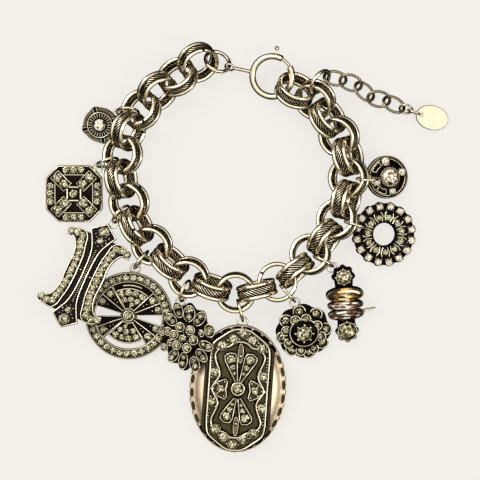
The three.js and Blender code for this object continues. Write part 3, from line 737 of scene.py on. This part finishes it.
def add_clasp():
    place = clasp_place()
    body = Shapes()
    body.torus("ring", CLASP_MIDDLE, CLASP_TUBE, CLASP_TUBE, 96, 20, start=58, end=386)
    cutters = [
        lone_mesh(lambda s: s.torus("ring", CLASP_MIDDLE, CLASP_BORE, CLASP_BORE, 40, 12, start=52, end=143)),
        lone_mesh(lambda s: s.torus("ring", CLASP_MIDDLE, CLASP_BORE, CLASP_BORE, 10, 12, start=18, end=30)),
        lone_mesh(lambda s: s.slab("ring", sector(CLASP_MIDDLE, 7.2, 72, 119), -0.35, 0.35, edge=0.01)),
    ]
    data = cut_away(body.meshes("clasp")["ring"], cutters)
    piece = show("clasp_tube", data, place, "bracelet")
    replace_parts(piece, "clasp_body")
    add_clasp_eye(place)
    gate = Shapes()
    gate.torus("ring", CLASP_MIDDLE, GATE_WIRE, GATE_WIRE, 40, 10, start=21, end=100)
    gate.bar("ring", polar(CLASP_MIDDLE, NUB_ANGLE), polar(NUB_REACH, NUB_ANGLE), 0.5, -0.25, 0.25)
    gate.bead(*polar(NUB_REACH, NUB_ANGLE), 0, 0.6, "ring", sides=16)
    gate.build("gate", "clasp_gate", place, "gate")


def add_clasp_eye(place):
    """The clasp's eye stands round the nearest wire of the first end ring, on a short neck."""
    to_clasp = place.inverted() @ ring_place("end_ring_1")
    wire = [to_clasp @ Vector((*polar(END_RING[0], angle), 0)) for angle in range(360)]
    nearest = min(range(360), key=lambda angle: wire[angle].length)
    wire_way = (wire[(nearest + 1) % 360] - wire[nearest]).normalized()
    root = wire[nearest].copy()
    root.z = 0
    root.length = CLASP_MIDDLE
    way = (wire[nearest] - root).normalized()
    middle = wire[nearest] - way * 0.16
    eye_place = axes_to_matrix(way, way.cross(wire_way.cross(way)), middle)
    shapes = Shapes()
    shapes.torus("ring", EYE_MIDDLE, 0.25, 0.25, 28, 10, eye_place)
    end = middle - way * EYE_MIDDLE
    neck = axes_to_matrix(UP, end - root, root)
    length = (end - root).length
    points = [(*polar(NECK_WIDTH, 30 * i), height) for height in (0, length) for i in range(12)]
    shapes.add("ring", points, skin(2, 12), [0.1] * 24, place=neck)
    show("clasp_eye", shapes.meshes("clasp_eye")["ring"], place, "bracelet")


def add_tag():
    across, along, thick, hole_at, hole = 3.2, 4.4, 0.6, -3.21, 0.7
    outline = circle(along, 48, squash=across / along)
    data = lone_mesh(lambda s: s.slab("tag", outline, 0, thick, edge=0.14, shade=0.05, side=0.3))
    hole_area = math.pi * hole * hole
    pulled = -hole_at * hole_area / (math.pi * across * along - hole_area)
    cutter = lone_mesh(lambda s: s.slab("tag", circle(hole, 20, x=hole_at), -1, 2, edge=0.01))
    place = plate_place("tag", -14) @ Matrix.Translation((-pulled, 0, 0))
    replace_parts(show("pale_tag", cut_away(data, [cutter]), place, "bracelet"), "tag")


# Charms. Each is made in its own plane, its back at z = 0 and its face up.

QUARTERS = (0, 90, 180, 270)

# Offset, width, material and top of the bars across each corner of the shield
SHIELD_CORNER_BARS = [
    (0, 0.7, "black", 1.12), (0.5, 0.22, "metal", 1.22), (-0.5, 0.22, "metal", 1.22),
    (0.78, 0.24, "black", 1.1), (-0.78, 0.24, "black", 1.1),
]


def shield(shapes):
    corners = (-11, 78, 166, 251)
    outline = []
    for i in range(60):
        angle = 6 * i
        near = min(abs((angle - corner + 180) % 360 - 180) for corner in corners)
        outline.append(polar(4.5 + 0.5 * math.exp(-(near / 11) ** 2), angle))
    shapes.slab("metal", outline, 0, 1.05, edge=0.2, shade=0.44, side=0.6)
    for corner in corners:
        for offset, width, material, top in SHIELD_CORNER_BARS:
            shapes.bar(material, *turned([(3.3, offset), (4.72, offset)], corner), width, 0.7, top)
    # Painted shade: the raised ring is darker towards its foot, inside and out.
    shapes.lathe("metal", [
        (3.4, 0.6, 0.5), (3.4, 1.5, 0.15), (3.25, 1.66, 0), (3.1, 1.5, 0.15), (3.05, 1.0, 0.7),
    ], 48)
    shapes.lathe("black", [(3.1, 1.08, 0), (0.01, 1.08, 0)], 32)
    for i in range(24):
        shapes.bar("metal", *turned([(1.85, 0), (2.98, 0)], 360 * i / 24), 0.14, 1.0, 1.32, far=0.26)
    shapes.gem(0, 0, 1.45, 1.65, "clear", dark=-0.3)
    shapes.eye(5.25, 0)


def octagon(shapes):
    half, flat = 7.4, 4.15
    outline = [point for angle in QUARTERS for point in turned([(half, flat), (flat, half)], angle)]
    shapes.slab("metal", outline, 0, 1.0, edge=0.15, shade=0.3)
    shapes.wire("metal", inset(outline, 0.22), 0.2, 1.02)
    shapes.slab("brown", inset(outline, 0.45), 0.8, 1.08, edge=0.03)
    for angle in QUARTERS:
        strip = turned([(2.35, -1.4), (7.15, -1.4), (7.15, 1.4), (2.35, 1.4)], angle + 45)
        shapes.slab("black", strip, 1.0, 1.35, edge=0.05)
        shapes.wire("metal", strip, 0.15, 1.4)
        for along in (3.55, 5.95):
            shapes.gem(*polar(along, angle + 45), 1.5, 1.26, turn=math.radians(angle))
        edge = turned([(5.35, -2.9), (7.05, -2.9), (7.05, 2.9), (5.35, 2.9)], angle)
        shapes.slab("black", edge, 1.0, 1.3, edge=0.05)
        shapes.bar("metal", *turned([(4.95, -2.75), (4.95, 2.75)], angle), 0.26, 1.0, 1.45)
        for across in (-2.0, 0, 2.0):
            shapes.gem(*spot(6.18, across, angle), 1.45, 1.0)
        for across in (-1.0, 1.0):
            for out in (5.42, 6.94):
                shapes.bead(*spot(out, across, angle), 1.42, 0.24, sides=8)
        shapes.wire("metal", turned([(1.75, -1.3), (1.75, 1.3)], angle), 0.3, 1.5, closed=False)
    shapes.slab("black", circle(2.4, 4, 45), 1.0, 1.3, edge=0.02)
    shapes.gem(0, 0, 1.5, 1.2)
    shapes.bar("metal", (flat, half * 0.8), (5.83, 6.28), 1.0, 0.1, 1.0)
    shapes.eye(6.14, 6.82)


SCROLL_OUTER = [
    (5.2, 10.95), (7.0, 10.75), (8.15, 10.0), (8.75, 8.3), (7.4, 8.55), (6.1, 7.6), (5.3, 5.8), (4.95, 3.8),
    (5.1, 1.5),
]
SCROLL_INNER = [(4.6, 10.9), (3.5, 9.6), (3.05, 7.4), (2.55, 5.0), (2.35, 1.5)]
SCROLL_STONES = [(8.0, 9.35), (6.6, 9.75), (4.9, 9.3), (4.35, 7.0), (3.85, 4.8), (3.65, 2.4)]
SCROLL_BEADS = [(-1.6, 1.1), (1.5, 0.2), (1.7, 9.9), (-1.7, -9.8)]
SCROLL_END_BEADS = [
    (1.9, 11.3), (-1.9, 11.3), (0, 8.4), (1.25, 10.6), (-1.25, 10.6), (0.95, 9.0), (-0.95, 9.0),
]
SCROLL_STRIP = [(3.5, 12.05), (2.4, 10.0), (1.35, 7.8), (0.8, 5.15), (0.63, 1.5)]


def with_lower(points):
    return points + [(x, -y) for x, y in reversed(points)]


def flipped(points):
    return [(-x, y) for x, y in reversed(points)]


def scroll(shapes):
    outer = curve_through(with_lower(SCROLL_OUTER), closed=False)
    inner = curve_through(with_lower(SCROLL_INNER), closed=False)
    strip_side = curve_through(with_lower(SCROLL_STRIP), closed=False)
    band = list(reversed(outer)) + inner
    strip = [(0, -14.6)] + list(reversed(strip_side)) + [(0, 14.6)] + [(-x, y) for x, y in strip_side]
    channel = list(reversed(inner)) + [(-x, y) for x, y in inner]
    shapes.slab("brown", channel, 0.05, 1.0, edge=0.03)
    shapes.slab("black", strip, 0, 1.25, edge=0.1)
    shapes.wire("metal", strip, 0.19, 1.33)
    for side in (1, -1):
        outline = band if side > 0 else flipped(band)
        shapes.slab("metal", outline, 0, 1.3, edge=0.12, shade=0.7)
        shapes.wire("metal", outline, 0.18, 1.4)
        for x, y in spaced(SCROLL_STONES + [(x, -y) for x, y in reversed(SCROLL_STONES)], 17):
            shapes.gem(side * x, y, 1.45, 1.1)
        shapes.collet(0, side * 12.4, 1.0, 1.5, 1.3, 0.14)
        shapes.gem(0, side * 12.4, 1.5, 1.34)
        shapes.gem(0, side * 9.9, 1.4, 0.98)
        for x, y in SCROLL_END_BEADS:
            shapes.bead(x, side * y, 1.35, 0.26, sides=8)
    for i in range(-12, 13):
        shapes.bead(0, i * 0.6, 1.3, 0.26, sides=8)
    for x, y in SCROLL_BEADS:
        shapes.bead(x, y, 1.15, 0.42)
    shapes.eye(0.9, 15.58)


# Rows of stones on each fan of the wheel: radius, turns from the fan's middle, and size
FAN_STONES = [(6.0, (-27, -9, 9, 27), 0.98), (4.25, (-22, 1, 24), 0.86), (2.95, (-8,), 0.62)]


def wheel(shapes):
    # Painted shade: the rim is bright along its two crests and darker on its sides and in the channel between
    # them.
    shapes.lathe("metal", [
        (11.4, 0, 0.6), (11.4, 1.2, 0.2), (11.2, 1.45, 0.0), (11.0, 1.3, 0.6), (9.05, 1.3, 0.6),
        (8.9, 1.45, 0.0), (8.7, 1.25, 0.2), (8.7, 0, 0.6), (11.4, 0, 0.6),
    ], 96)
    for x, y in circle(9.98, 33, 3):
        shapes.gem(x, y, 1.4, 0.97)
    for x, y in circle(10.75, 33, 8.5) + circle(9.2, 33, 8.5):
        shapes.bead(x, y, 1.35, 0.2, sides=6)
    spin = 8
    for start, end in [(1, 43), (118, 162), (181, 222), (301, 341)]:
        shapes.slab("black", sector(1.5, 8.85, start + spin, end + spin, 12), 0, 0.9, edge=0.03)
        for angle in (start, end):
            shapes.bar("metal", polar(1.5, angle + spin), polar(8.8, angle + spin), 0.22, 0.5, 1.15)
    shapes.slab("black", sector(7.1, 8.85, 38 + spin, 122 + spin, 16), 0, 0.9, edge=0.03)
    shapes.wire("metal", arc(7.95, 64 + spin, 100 + spin, 10), 0.24, 1.0, closed=False)
    for start, end in [(43, 118), (222, 301)]:
        fan = sector(1.9, 7.1, start + spin, end + spin, 14)
        shapes.slab("metal", fan, 0, 1.25, edge=0.1, shade=0.7)
        shapes.wire("metal", fan, 0.2, 1.4)
        middle = (start + end) / 2 + spin
        for radius, turns, size in FAN_STONES:
            for turn in turns:
                shapes.gem(*polar(radius, middle + turn), 1.4, size)
        shapes.bead(*polar(2.35, middle), 1.4, 0.3)
    for angle in (32, 130, 209, 312):
        petal = turned([(1.8, -0.3), (8.55, -1.55), (8.55, 1.55), (1.8, 0.3)], angle + spin)
        shapes.slab("black", petal, 0.5, 1.2, edge=0.05)
        shapes.wire("metal", petal, 0.17, 1.3)
        shapes.gem(*polar(7.4, angle + spin), 1.4, 1.05)
        for radius in (5.6, 4.6):
            shapes.bead(*polar(radius, angle + spin), 1.2, 0.24, sides=8)
    for angle in (11, 151, 334):
        x, y = polar(7.85, angle + spin)
        shapes.collet(x, y, 0.8, 1.3, 0.75, 0.12)
        shapes.gem(x, y, 1.25, 0.78)
        shapes.bead(*polar(6.3, angle + spin), 0.95, 0.24, sides=8)
    shapes.lathe("black", [(2.2, 0, 0), (2.2, 1.1, 0), (0.01, 1.2, 0)], 24)
    shapes.collet(0, 0, 1.1, 1.85, 1.15, 0.35, 24)
    shapes.gem(0, 0, 1.75, 1.05)
    shapes.bar("metal", (0, 11.1), (0, 11.6), 1.2, 0.1, 1.0)
    shapes.eye(0, 12.34)


FLOWER_MIDDLE = (193, 343)
FLOWER_INNER = [(187.5, 333), (198, 336.5), (201, 346.5), (193.5, 354), (183, 351), (180.5, 340.5)]
# Middle, half length and half width of the flower's petals, in pixels
FLOWER_PETALS = [
    (185.4, 315.8, 8, 4.6), (196.7, 320, 8, 6), (207.5, 325.4, 8, 5), (217, 337.5, 5, 6.5),
    (207.9, 340, 3.4, 3.4), (212.9, 352.5, 7.5, 4.5), (207.8, 362, 7.5, 4.6), (200.3, 370.5, 7.5, 5),
    (188.3, 367, 8.5, 4.6), (178.4, 361.7, 7, 4.5), (169.2, 353.2, 3.6, 3.6), (175.8, 348.3, 3.2, 3.2),
    (173.5, 337, 4.5, 4), (177.5, 325.5, 7, 5),
]


def flower(shapes):
    outline = []
    for angle in range(0, 360, 5):
        x, y = polar(0.9 + 0.06 * math.cos(math.radians(10 * angle - 90)), angle)
        outline.append((x * 7.3, y * 9.3))
    shapes.slab("black", outline, 0, 0.95, edge=0.15)
    shapes.lathe("black", [(4.3, 0.5, 0), (4.1, 1.0, 0), (3.4, 1.75, 0), (0.01, 1.9, 0)], 36, squash=1.1)
    for px, py, long_half, wide_half in FLOWER_PETALS:
        ((x, y),) = read_off(FLOWER_MIDDLE, [(px, py)])
        away = math.degrees(math.atan2(y, x))
        long_half, wide_half = long_half * PIXEL, wide_half * PIXEL
        petal = turned(circle(long_half, 20, squash=wide_half / long_half), away, x, y)
        shapes.slab("black", petal, 0.6, 1.2, edge=0.12)
        shapes.wire("metal", petal, 0.13, 1.3)
        spots = [(-0.42, 0.55), (0.38, 0.74)] if long_half > 1.5 else [(0, 0.85)]
        for share, size in spots:
            at = spot(share * long_half, 0, away, x, y)
            shapes.gem(*at, 1.4, min(1.25, size * wide_half), turn=math.radians(away), dark=0.1)
    for x, y in read_off(FLOWER_MIDDLE, FLOWER_INNER):
        shapes.collet(x, y, 1.2, 2.2, 1.02, 0.28)
        shapes.gem(x, y, 2.05, 0.96)
    ((x, y),) = read_off(FLOWER_MIDDLE, [(190, 344)])
    shapes.gem(x, y, 2.2, 1.1)
    shapes.claws(x, y, 2.0, 1.45, 6, 0.22, start=20)
    shapes.eye(-1.46, 9.12)


OVAL_MIDDLE = (237.5, 388.5)
OVAL_FRAME_STONES = [
    (229.9, 338), (239.9, 330.8), (249.3, 338), (258.8, 345.2), (262.7, 373.6), (262.7, 405.8), (256, 431.3),
    (246.6, 438), (236, 444.1), (227.1, 436.9), (218.2, 429.1), (213.2, 401.9), (213.8, 372.4), (219, 345),
]
OVAL_LEAVES = [(228.8, 358, -1), (248.2, 358, 1), (228.2, 415.8, -1), (247, 416.9, 1)]
OVAL_RIM_NOTCHES = 28
OVAL_WEDGE = [
    (2.8, -1.9), (3.3, -2.7), (5.3, -1.8), (7.2, 0), (5.3, 1.8), (3.3, 2.7), (2.8, 1.9), (3.2, 0),
]


def oval(shapes):
    squash = 16.8 / 12.6
    # Painted shade: the dome is darker at its outer foot and in the step inside its rim.
    shapes.lathe("satin", [
        (12.6, 0, 0.6), (12.6, 0.75, 0.3), (12.45, 1.1, 0.1), (12.1, 1.25, 0.0), (11.3, 1.25, 0.25),
        (10.9, 1.5, 0.15), (10.4, 2.15, 0.03), (9.4, 2.6, 0.0), (8.0, 2.75, 0.05), (0.01, 2.8, 0.3),
    ], 96, squash=squash)
    for i in range(OVAL_RIM_NOTCHES):
        x, y = polar(1, 360 * (i + 0.5) / OVAL_RIM_NOTCHES)
        way = math.degrees(math.atan2(x * squash, -y))
        at = (x * 11.95, y * 11.95 * squash)
        # Painted shade: each notch in the rim is a leaf of metal painted dark, ringed by a wire kept bright.
        leaf = turned(lens_outline(1.2, 0.48, 0), way, *at)
        shapes.slab("metal", leaf, 0.9, 1.36, edge=0.08, shade=0.62)
        shapes.wire("satin", turned(lens_outline(1.45, 0.62, 0), way, *at), 0.13, 1.33, shade=-0.1)
    plateau = [(9.3, -9.8)] + [(x * 12.0, y * 12.0 * squash) for x, y in arc(1, 42, 138, 14)] + [(-9.3, -9.8)]
    plateau = [(x, y) for x, y in plateau if y > 0]
    plateau = plateau + [(-x, -y) for x, y in plateau]
    # The plateau is dark on top and darker still on its sides, painted shade along each side of the plaque.
    shapes.slab("metal", plateau, 0.9, 2.95, edge=0.25, shade=0.57, side=0.8)
    oval_frame(shapes)
    for x, y in read_off(OVAL_MIDDLE, OVAL_FRAME_STONES):
        shapes.collet(x, y, 3.2, 3.6, 1.22, 0.1)
        shapes.gem(x, y, 3.55, 1.2)
        around = math.degrees(math.atan2(y, x)) + 90
        for step in (-1.55, 1.55):
            shapes.bead(*spot(step, 0.1, around, x, y), 3.5, 0.32, sides=8)
    for px, py, side in OVAL_LEAVES:
        oval_leaf(shapes, *read_off(OVAL_MIDDLE, [(px, py)])[0], side)
    for side in (-1, 1):
        wedge = turned(OVAL_WEDGE, 90 - 90 * side)
        shapes.slab("metal", wedge, 2.9, 3.4, edge=0.1, shade=0.55)
        shapes.wire("metal", wedge, 0.17, 3.42)
        shapes.gem(4.5 * side, 0, 3.5, 1.15)
        for x, y in [(3.5, -1.9), (3.5, 1.9), (6.3, 0), (5.2, 1.2), (5.2, -1.2)]:
            shapes.bead(x * side, y, 3.4, 0.34, sides=8)
        for i in range(5):
            for y in (5.6 + 0.8 * i, -5.6 - 0.8 * i):
                shapes.bead(7.15 * side, y, 3.38, 0.26, sides=6)
        spindle = turned(lens_outline(2.5, 0.62, 0), 90, 0.1, side * 9.6)
        shapes.slab("metal", spindle, 2.9, 3.45, edge=0.12, shade=0.45)
        shapes.wire("metal", spindle, 0.13, 3.4, shade=0.1)
        shapes.bead(0.1, side * 8.9, 3.5, 0.45)
    shapes.collet(0, 0.3, 2.9, 3.9, 1.4, 0.5, 24)
    shapes.gem(0, 0.3, 3.8, 1.4)
    shapes.eye(0, 17.55)
    shapes.bar("satin", (0, 16.3), (0, 16.7), 1.4, 0.2, 0.9)


ROSETTE_MIDDLE = (303, 330)
ROSETTE_INNER = [
    (294, 317), (304.5, 315.5), (316, 322.5), (320, 334), (285, 328), (288, 341), (300, 349), (313, 347),
]
ROSETTE_OUTER = [
    (298, 308.5), (315, 311.5), (327, 327), (324, 343), (309, 354), (291, 349), (281, 336), (283, 317),
]


def lobed(radius, swell):
    """A round outline with eight lobes."""
    return [polar(radius + swell * math.cos(math.radians(8 * angle)), angle) for angle in range(0, 360, 6)]


def quartered(quarter):
    """A closed curve from the points of its upper right quarter, listed counterclockwise."""
    upper = quarter + [(-x, y) for x, y in reversed(quarter[:-1])]
    return curve_through(upper + [(-x, -y) for x, y in upper[1:-1]])


def oval_frame(shapes):
    """The raised frame of the oval's plaque: straight sides, arched ends and a waved inner edge."""
    outer = quartered([(7.6, 0), (7.6, 4.0), (7.6, 9.2), (7.0, 11.9), (4.7, 13.9), (2.3, 15.5), (0, 15.9)])
    inner = quartered([(6.8, 0), (5.0, 3.7), (6.5, 8.4), (5.2, 10.7), (3.0, 11.2), (1.6, 12.3), (0, 12.6)])
    # Painted shade: the frame is darker at its foot than along its top.
    levels = [(outer, 2.9, 0.9), (outer, 3.4, 0.58), (inner, 3.4, 0.58), (inner, 2.9, 0.9)]
    points = [(x, y, height) for loop, height, _ in levels for x, y in loop]
    painted_light_and_patina = [shade for loop, _, shade in levels for _ in loop]
    shapes.add("metal", points, skin(4, len(outer)), painted_light_and_patina, flat=True)
    shapes.wire("metal", outer, 0.28, 3.42)
    shapes.wire("metal", inner, 0.28, 3.42)


def oval_leaf(shapes, x, y, side):
    """A wedge that widens away from the plaque's middle, with a large stone and two that shrink inwards."""
    foot = (side * 0.55, math.copysign(2.3, y))
    length = math.hypot(x - foot[0], y - foot[1])
    way = math.degrees(math.atan2(y - foot[1], x - foot[0]))
    outline = turned([
        (0, -0.35), (length, -1.6), (length + 1.2, -1.4), (length + 1.7, 0), (length + 1.2, 1.4),
        (length, 1.6), (0, 0.35),
    ], way, *foot)
    shapes.slab("metal", outline, 2.9, 3.4, edge=0.1, shade=0.6)
    shapes.wire("metal", outline, 0.16, 3.44)
    for share, size in [(1.0, 1.25), (0.62, 0.8), (0.34, 0.5)]:
        shapes.gem(*spot(length * share, 0, way, *foot), 3.5, size)


def rosette(shapes):
    shapes.slab("black", lobed(7.0, 0.3), 0, 0.9, edge=0.2)
    shapes.lathe("black", [(6.0, 0.5, 0), (5.6, 1.5, 0), (3.9, 1.95, 0)], 48)
    shapes.lathe("black", [
        (3.65, 1.5, 0), (3.5, 2.3, 0), (2.8, 2.75, 0), (1.5, 2.95, 0), (0.01, 2.95, 0),
    ], 48)
    shapes.torus("metal", 3.7, 0.2, 0.25, 48, 8, Matrix.Translation((0, 0, 2.0)))
    for pixels, height, radius in [(ROSETTE_INNER, 1.95, 1.25), (ROSETTE_OUTER, 1.1, 1.6)]:
        for x, y in read_off(ROSETTE_MIDDLE, pixels):
            away = math.degrees(math.atan2(y, x))
            reach = min(1.0, (7.25 - radius) / math.hypot(x, y))
            x, y = x * reach, y * reach
            bow = turned(arc(radius, -115, 115, 12), away, x, y)
            seat = turned(circle(radius, 16), away, x, y)
            shapes.wire("metal", bow, 0.2, height + 0.15, closed=False)
            shapes.slab("black", seat, height - 0.6, height + 0.05, edge=0.1)
            shapes.gem(x, y, height + 0.15, radius * 0.72, turn=math.radians(away), dark=0.14)
    shapes.claws(0, 0, 2.95, 2.3, 8, 0.36, sides=10)
    shapes.collet(0, 0, 2.6, 3.1, 1.75, 0.2, 24)
    shapes.gem(0, 0, 3.05, 1.75)
    shapes.eye(*polar(8.15, 107))


STACK_LENGTH = 20.6
# Middle, half length, half width, lift and material of the stack's long stones
LONG_STONES = [
    (2.68, 4.9, 2.0, 0.5, "golden"), (-0.22, 4.7, 1.4, 0.3, "rose"), (-2.72, 4.7, 1.6, 0.1, "rose"),
]


def stack(shapes):
    reach = STACK_LENGTH / 2 - 2.976
    shapes.bar("black", (0, -reach), (0, reach), 4.6, 0, 1.0, edge=0.2)
    for y, size in ((reach, 1.75), (-reach, 2.3)):
        shapes.slab("black", turned(lobed(2.85, 0.25), 0, 0, y), 0, 1.4, edge=0.3)
        shapes.collet(0, y, 1.0, 1.7, size, 0.24, 24)
        shapes.gem(0, y, 1.6, size)
        shapes.claws(0, y, 1.55, size + 0.35, 8, 0.3)
    for y, half, thick, lift, material in LONG_STONES:
        # Painted shade: each long stone's setting is dark on top and darker on its sides.
        shapes.slab("metal", lens_outline(half, thick, y), 0.1, 1.6 + lift, edge=0.2, shade=0.35, side=0.8)
        marquise(shapes, half - 0.35, thick - 0.2, y, 1.6 + lift, material)
    shapes.bar("metal", (3.0, -2.6), (7.8, -1.9), 1.0, 0.3, 1.0, far=0.35, shade=0.1)
    shapes.eye(-2.63, reach + 2.635)


def lens_outline(half, thick, y):
    """A pointed oval, listed counterclockwise."""
    upper, lower = [], []
    for i in range(12):
        angle = math.pi * i / 12
        bulge = thick * math.sin(angle) ** 0.9
        upper.append((half * math.cos(angle), y + bulge))
        lower.append((half * math.cos(math.pi * (1 + i / 12)), y - bulge))
    return upper + lower


def marquise(shapes, half, thick, y, height, material):
    """A marquise stone cut in long steps: a table in four and three rows of facets down to its girdle."""
    steps = [(1.0, 1.0, 0.0), (0.88, 0.74, 0.25), (0.72, 0.42, 0.45), (0.5, 0.16, 0.5)]
    loops = []
    for along, across, rise in steps:
        loops.append([(x, py, height + rise) for x, py in lens_outline(half * along, thick * across, y)])
    count = len(loops[0])
    for level, base in enumerate((0.06, 0.5, 0.3)):
        outer, inner = loops[level], loops[level + 1]
        for i in range(count):
            j = (i + 1) % count
            # Painted light on each facet: it varies at random, darkens towards the points, and the middle row
            # is lighter on its upper side.
            value = base + 1.1 * noise.noise(Vector((i * 0.47, y * 3.1, level * 4.3)))
            value -= 0.5 * (abs(loops[0][i][0]) / half) ** 2
            if level == 1 and loops[0][i][1] > y:
                value += 0.35
            corners = [outer[i], outer[j], inner[j], inner[i]]
            value = min(1.0, max(0.0, value))
            shapes.add(material, corners, [(0, 1, 2, 3)], [value] * 4, flat=True)
    top = (0, y, height + 0.5)
    for i in range(count):
        j = (i + 1) % count
        # Painted highlight across the middle of the table; its ends are darker.
        value = 0.95 if abs(loops[3][i][0]) < half * 0.25 else 0.3
        shapes.add(material, [loops[3][i], loops[3][j], top], [(0, 1, 2)], [value] * 3, flat=True)


def wreath(shapes):
    shapes.lathe("black", [
        (8.1, 0, 0), (8.1, 0.7, 0), (7.7, 0.95, 0), (6.0, 1.35, 0), (3.3, 1.5, 0), (2.95, 1.3, 0),
        (2.95, 0, 0), (8.1, 0, 0),
    ], 72)
    for i in range(16):
        angle = 360 * (i + 0.2) / 16
        x, y = polar(7.35, angle)
        shapes.lathe("black", [(1.2, 0.2, 0), (1.15, 1.1, 0), (0.9, 1.3, 0)], 12, x, y)
        shapes.gem(x, y, 1.45, 0.98, "clear", turn=math.radians(angle), dark=-0.15)
        shapes.claws(x, y, 1.4, 1.12, 4, 0.2, start=angle + 45, sides=6)
    for i in range(11):
        angle = 360 * (i + 0.35) / 11
        x, y = polar(4.6, angle)
        shapes.gem(x, y, 1.65, 0.86, dark=-0.05)
        for spread in (-1, 1):
            hook = turned([(1.25, spread * 0.95), (0.2, spread * 1.15), (-1.15, spread * 0.55)], angle, x, y)
            shapes.wire("metal", hook, 0.17, 1.65, closed=False)
    shapes.eye(7.86, 0, across=True)


def button(shapes):
    # Painted shade: the rim is darker down its walls than on its crest, darkest on the inner wall.
    shapes.lathe("metal", [
        (5.6, 0, 0.6), (5.6, 1.3, 0.5), (5.45, 1.5, 0.2), (5.25, 1.45, 0.6), (5.1, 1.1, 0.9),
        (5.1, 0, 0.9), (5.6, 0, 0.6),
    ], 64)
    shapes.lathe("black", [(5.15, 0.2, 0), (5.15, 1.2, 0), (3.0, 1.3, 0), (0.01, 1.3, 0)], 48)
    shapes.torus("metal", 4.8, 0.12, 0.14, 64, 6, Matrix.Translation((0, 0, 1.3)))
    centre = 0.65
    shapes.torus("chain", 2.5, 0.22, 0.28, 96, 8, Matrix.Translation((centre, 0, 1.55)), twist=24, groove=0.4)
    shapes.collet(centre, 0, 1.2, 1.7, 2.1, 0.2, 24)
    shapes.gem(centre, 0, 1.65, 2.15, "clear", dark=-0.12)
    for x, y, radius in [(-0.4, 4.05, 1.15), (4.05, 1.15, 1.0), (1.2, -3.9, 0.95), (-3.3, -1.1, 1.35)]:
        shapes.gem(x, y, 1.55, radius, "clear", dark=-0.15)
        shapes.claws(x, y, 1.55, radius + 0.05, 4, 0.24, start=45, sides=6)
    for start, end in [(118, 158), (225, 262)]:
        panel = sector(3.3, 4.5, start, end, 6)
        shapes.slab("black", panel, 1.0, 1.36, edge=0.04)
        shapes.wire("metal", panel, 0.12, 1.38)
    shapes.eye(-5.43, 0, across=True)


# Each charm's turn in its own plane
CHARMS = [
    (shield, 30), (octagon, 0), (scroll, -24), (wheel, -8), (flower, 2), (oval, -4), (rosette, 0), (stack, 5),
    (wreath, 163), (button, 2.5),
]


def add_charms():
    for make, spin in CHARMS:
        name, shapes = make.__name__, Shapes()
        make(shapes)
        shapes.build(name, name, plate_place(name, spin))


add_camera()
add_floor()
add_world()
add_light("left_box", (-0.5, 0.35, 0.6), (0.3, 0.5), 3.2)
add_light("right_box", (0.55, -0.15, 0.5), (0.12, 0.5), 1.4)
bpy.context.scene.view_settings.view_transform = "Standard"
add_chain()
add_rings()
add_clasp()
add_tag()
add_charms()
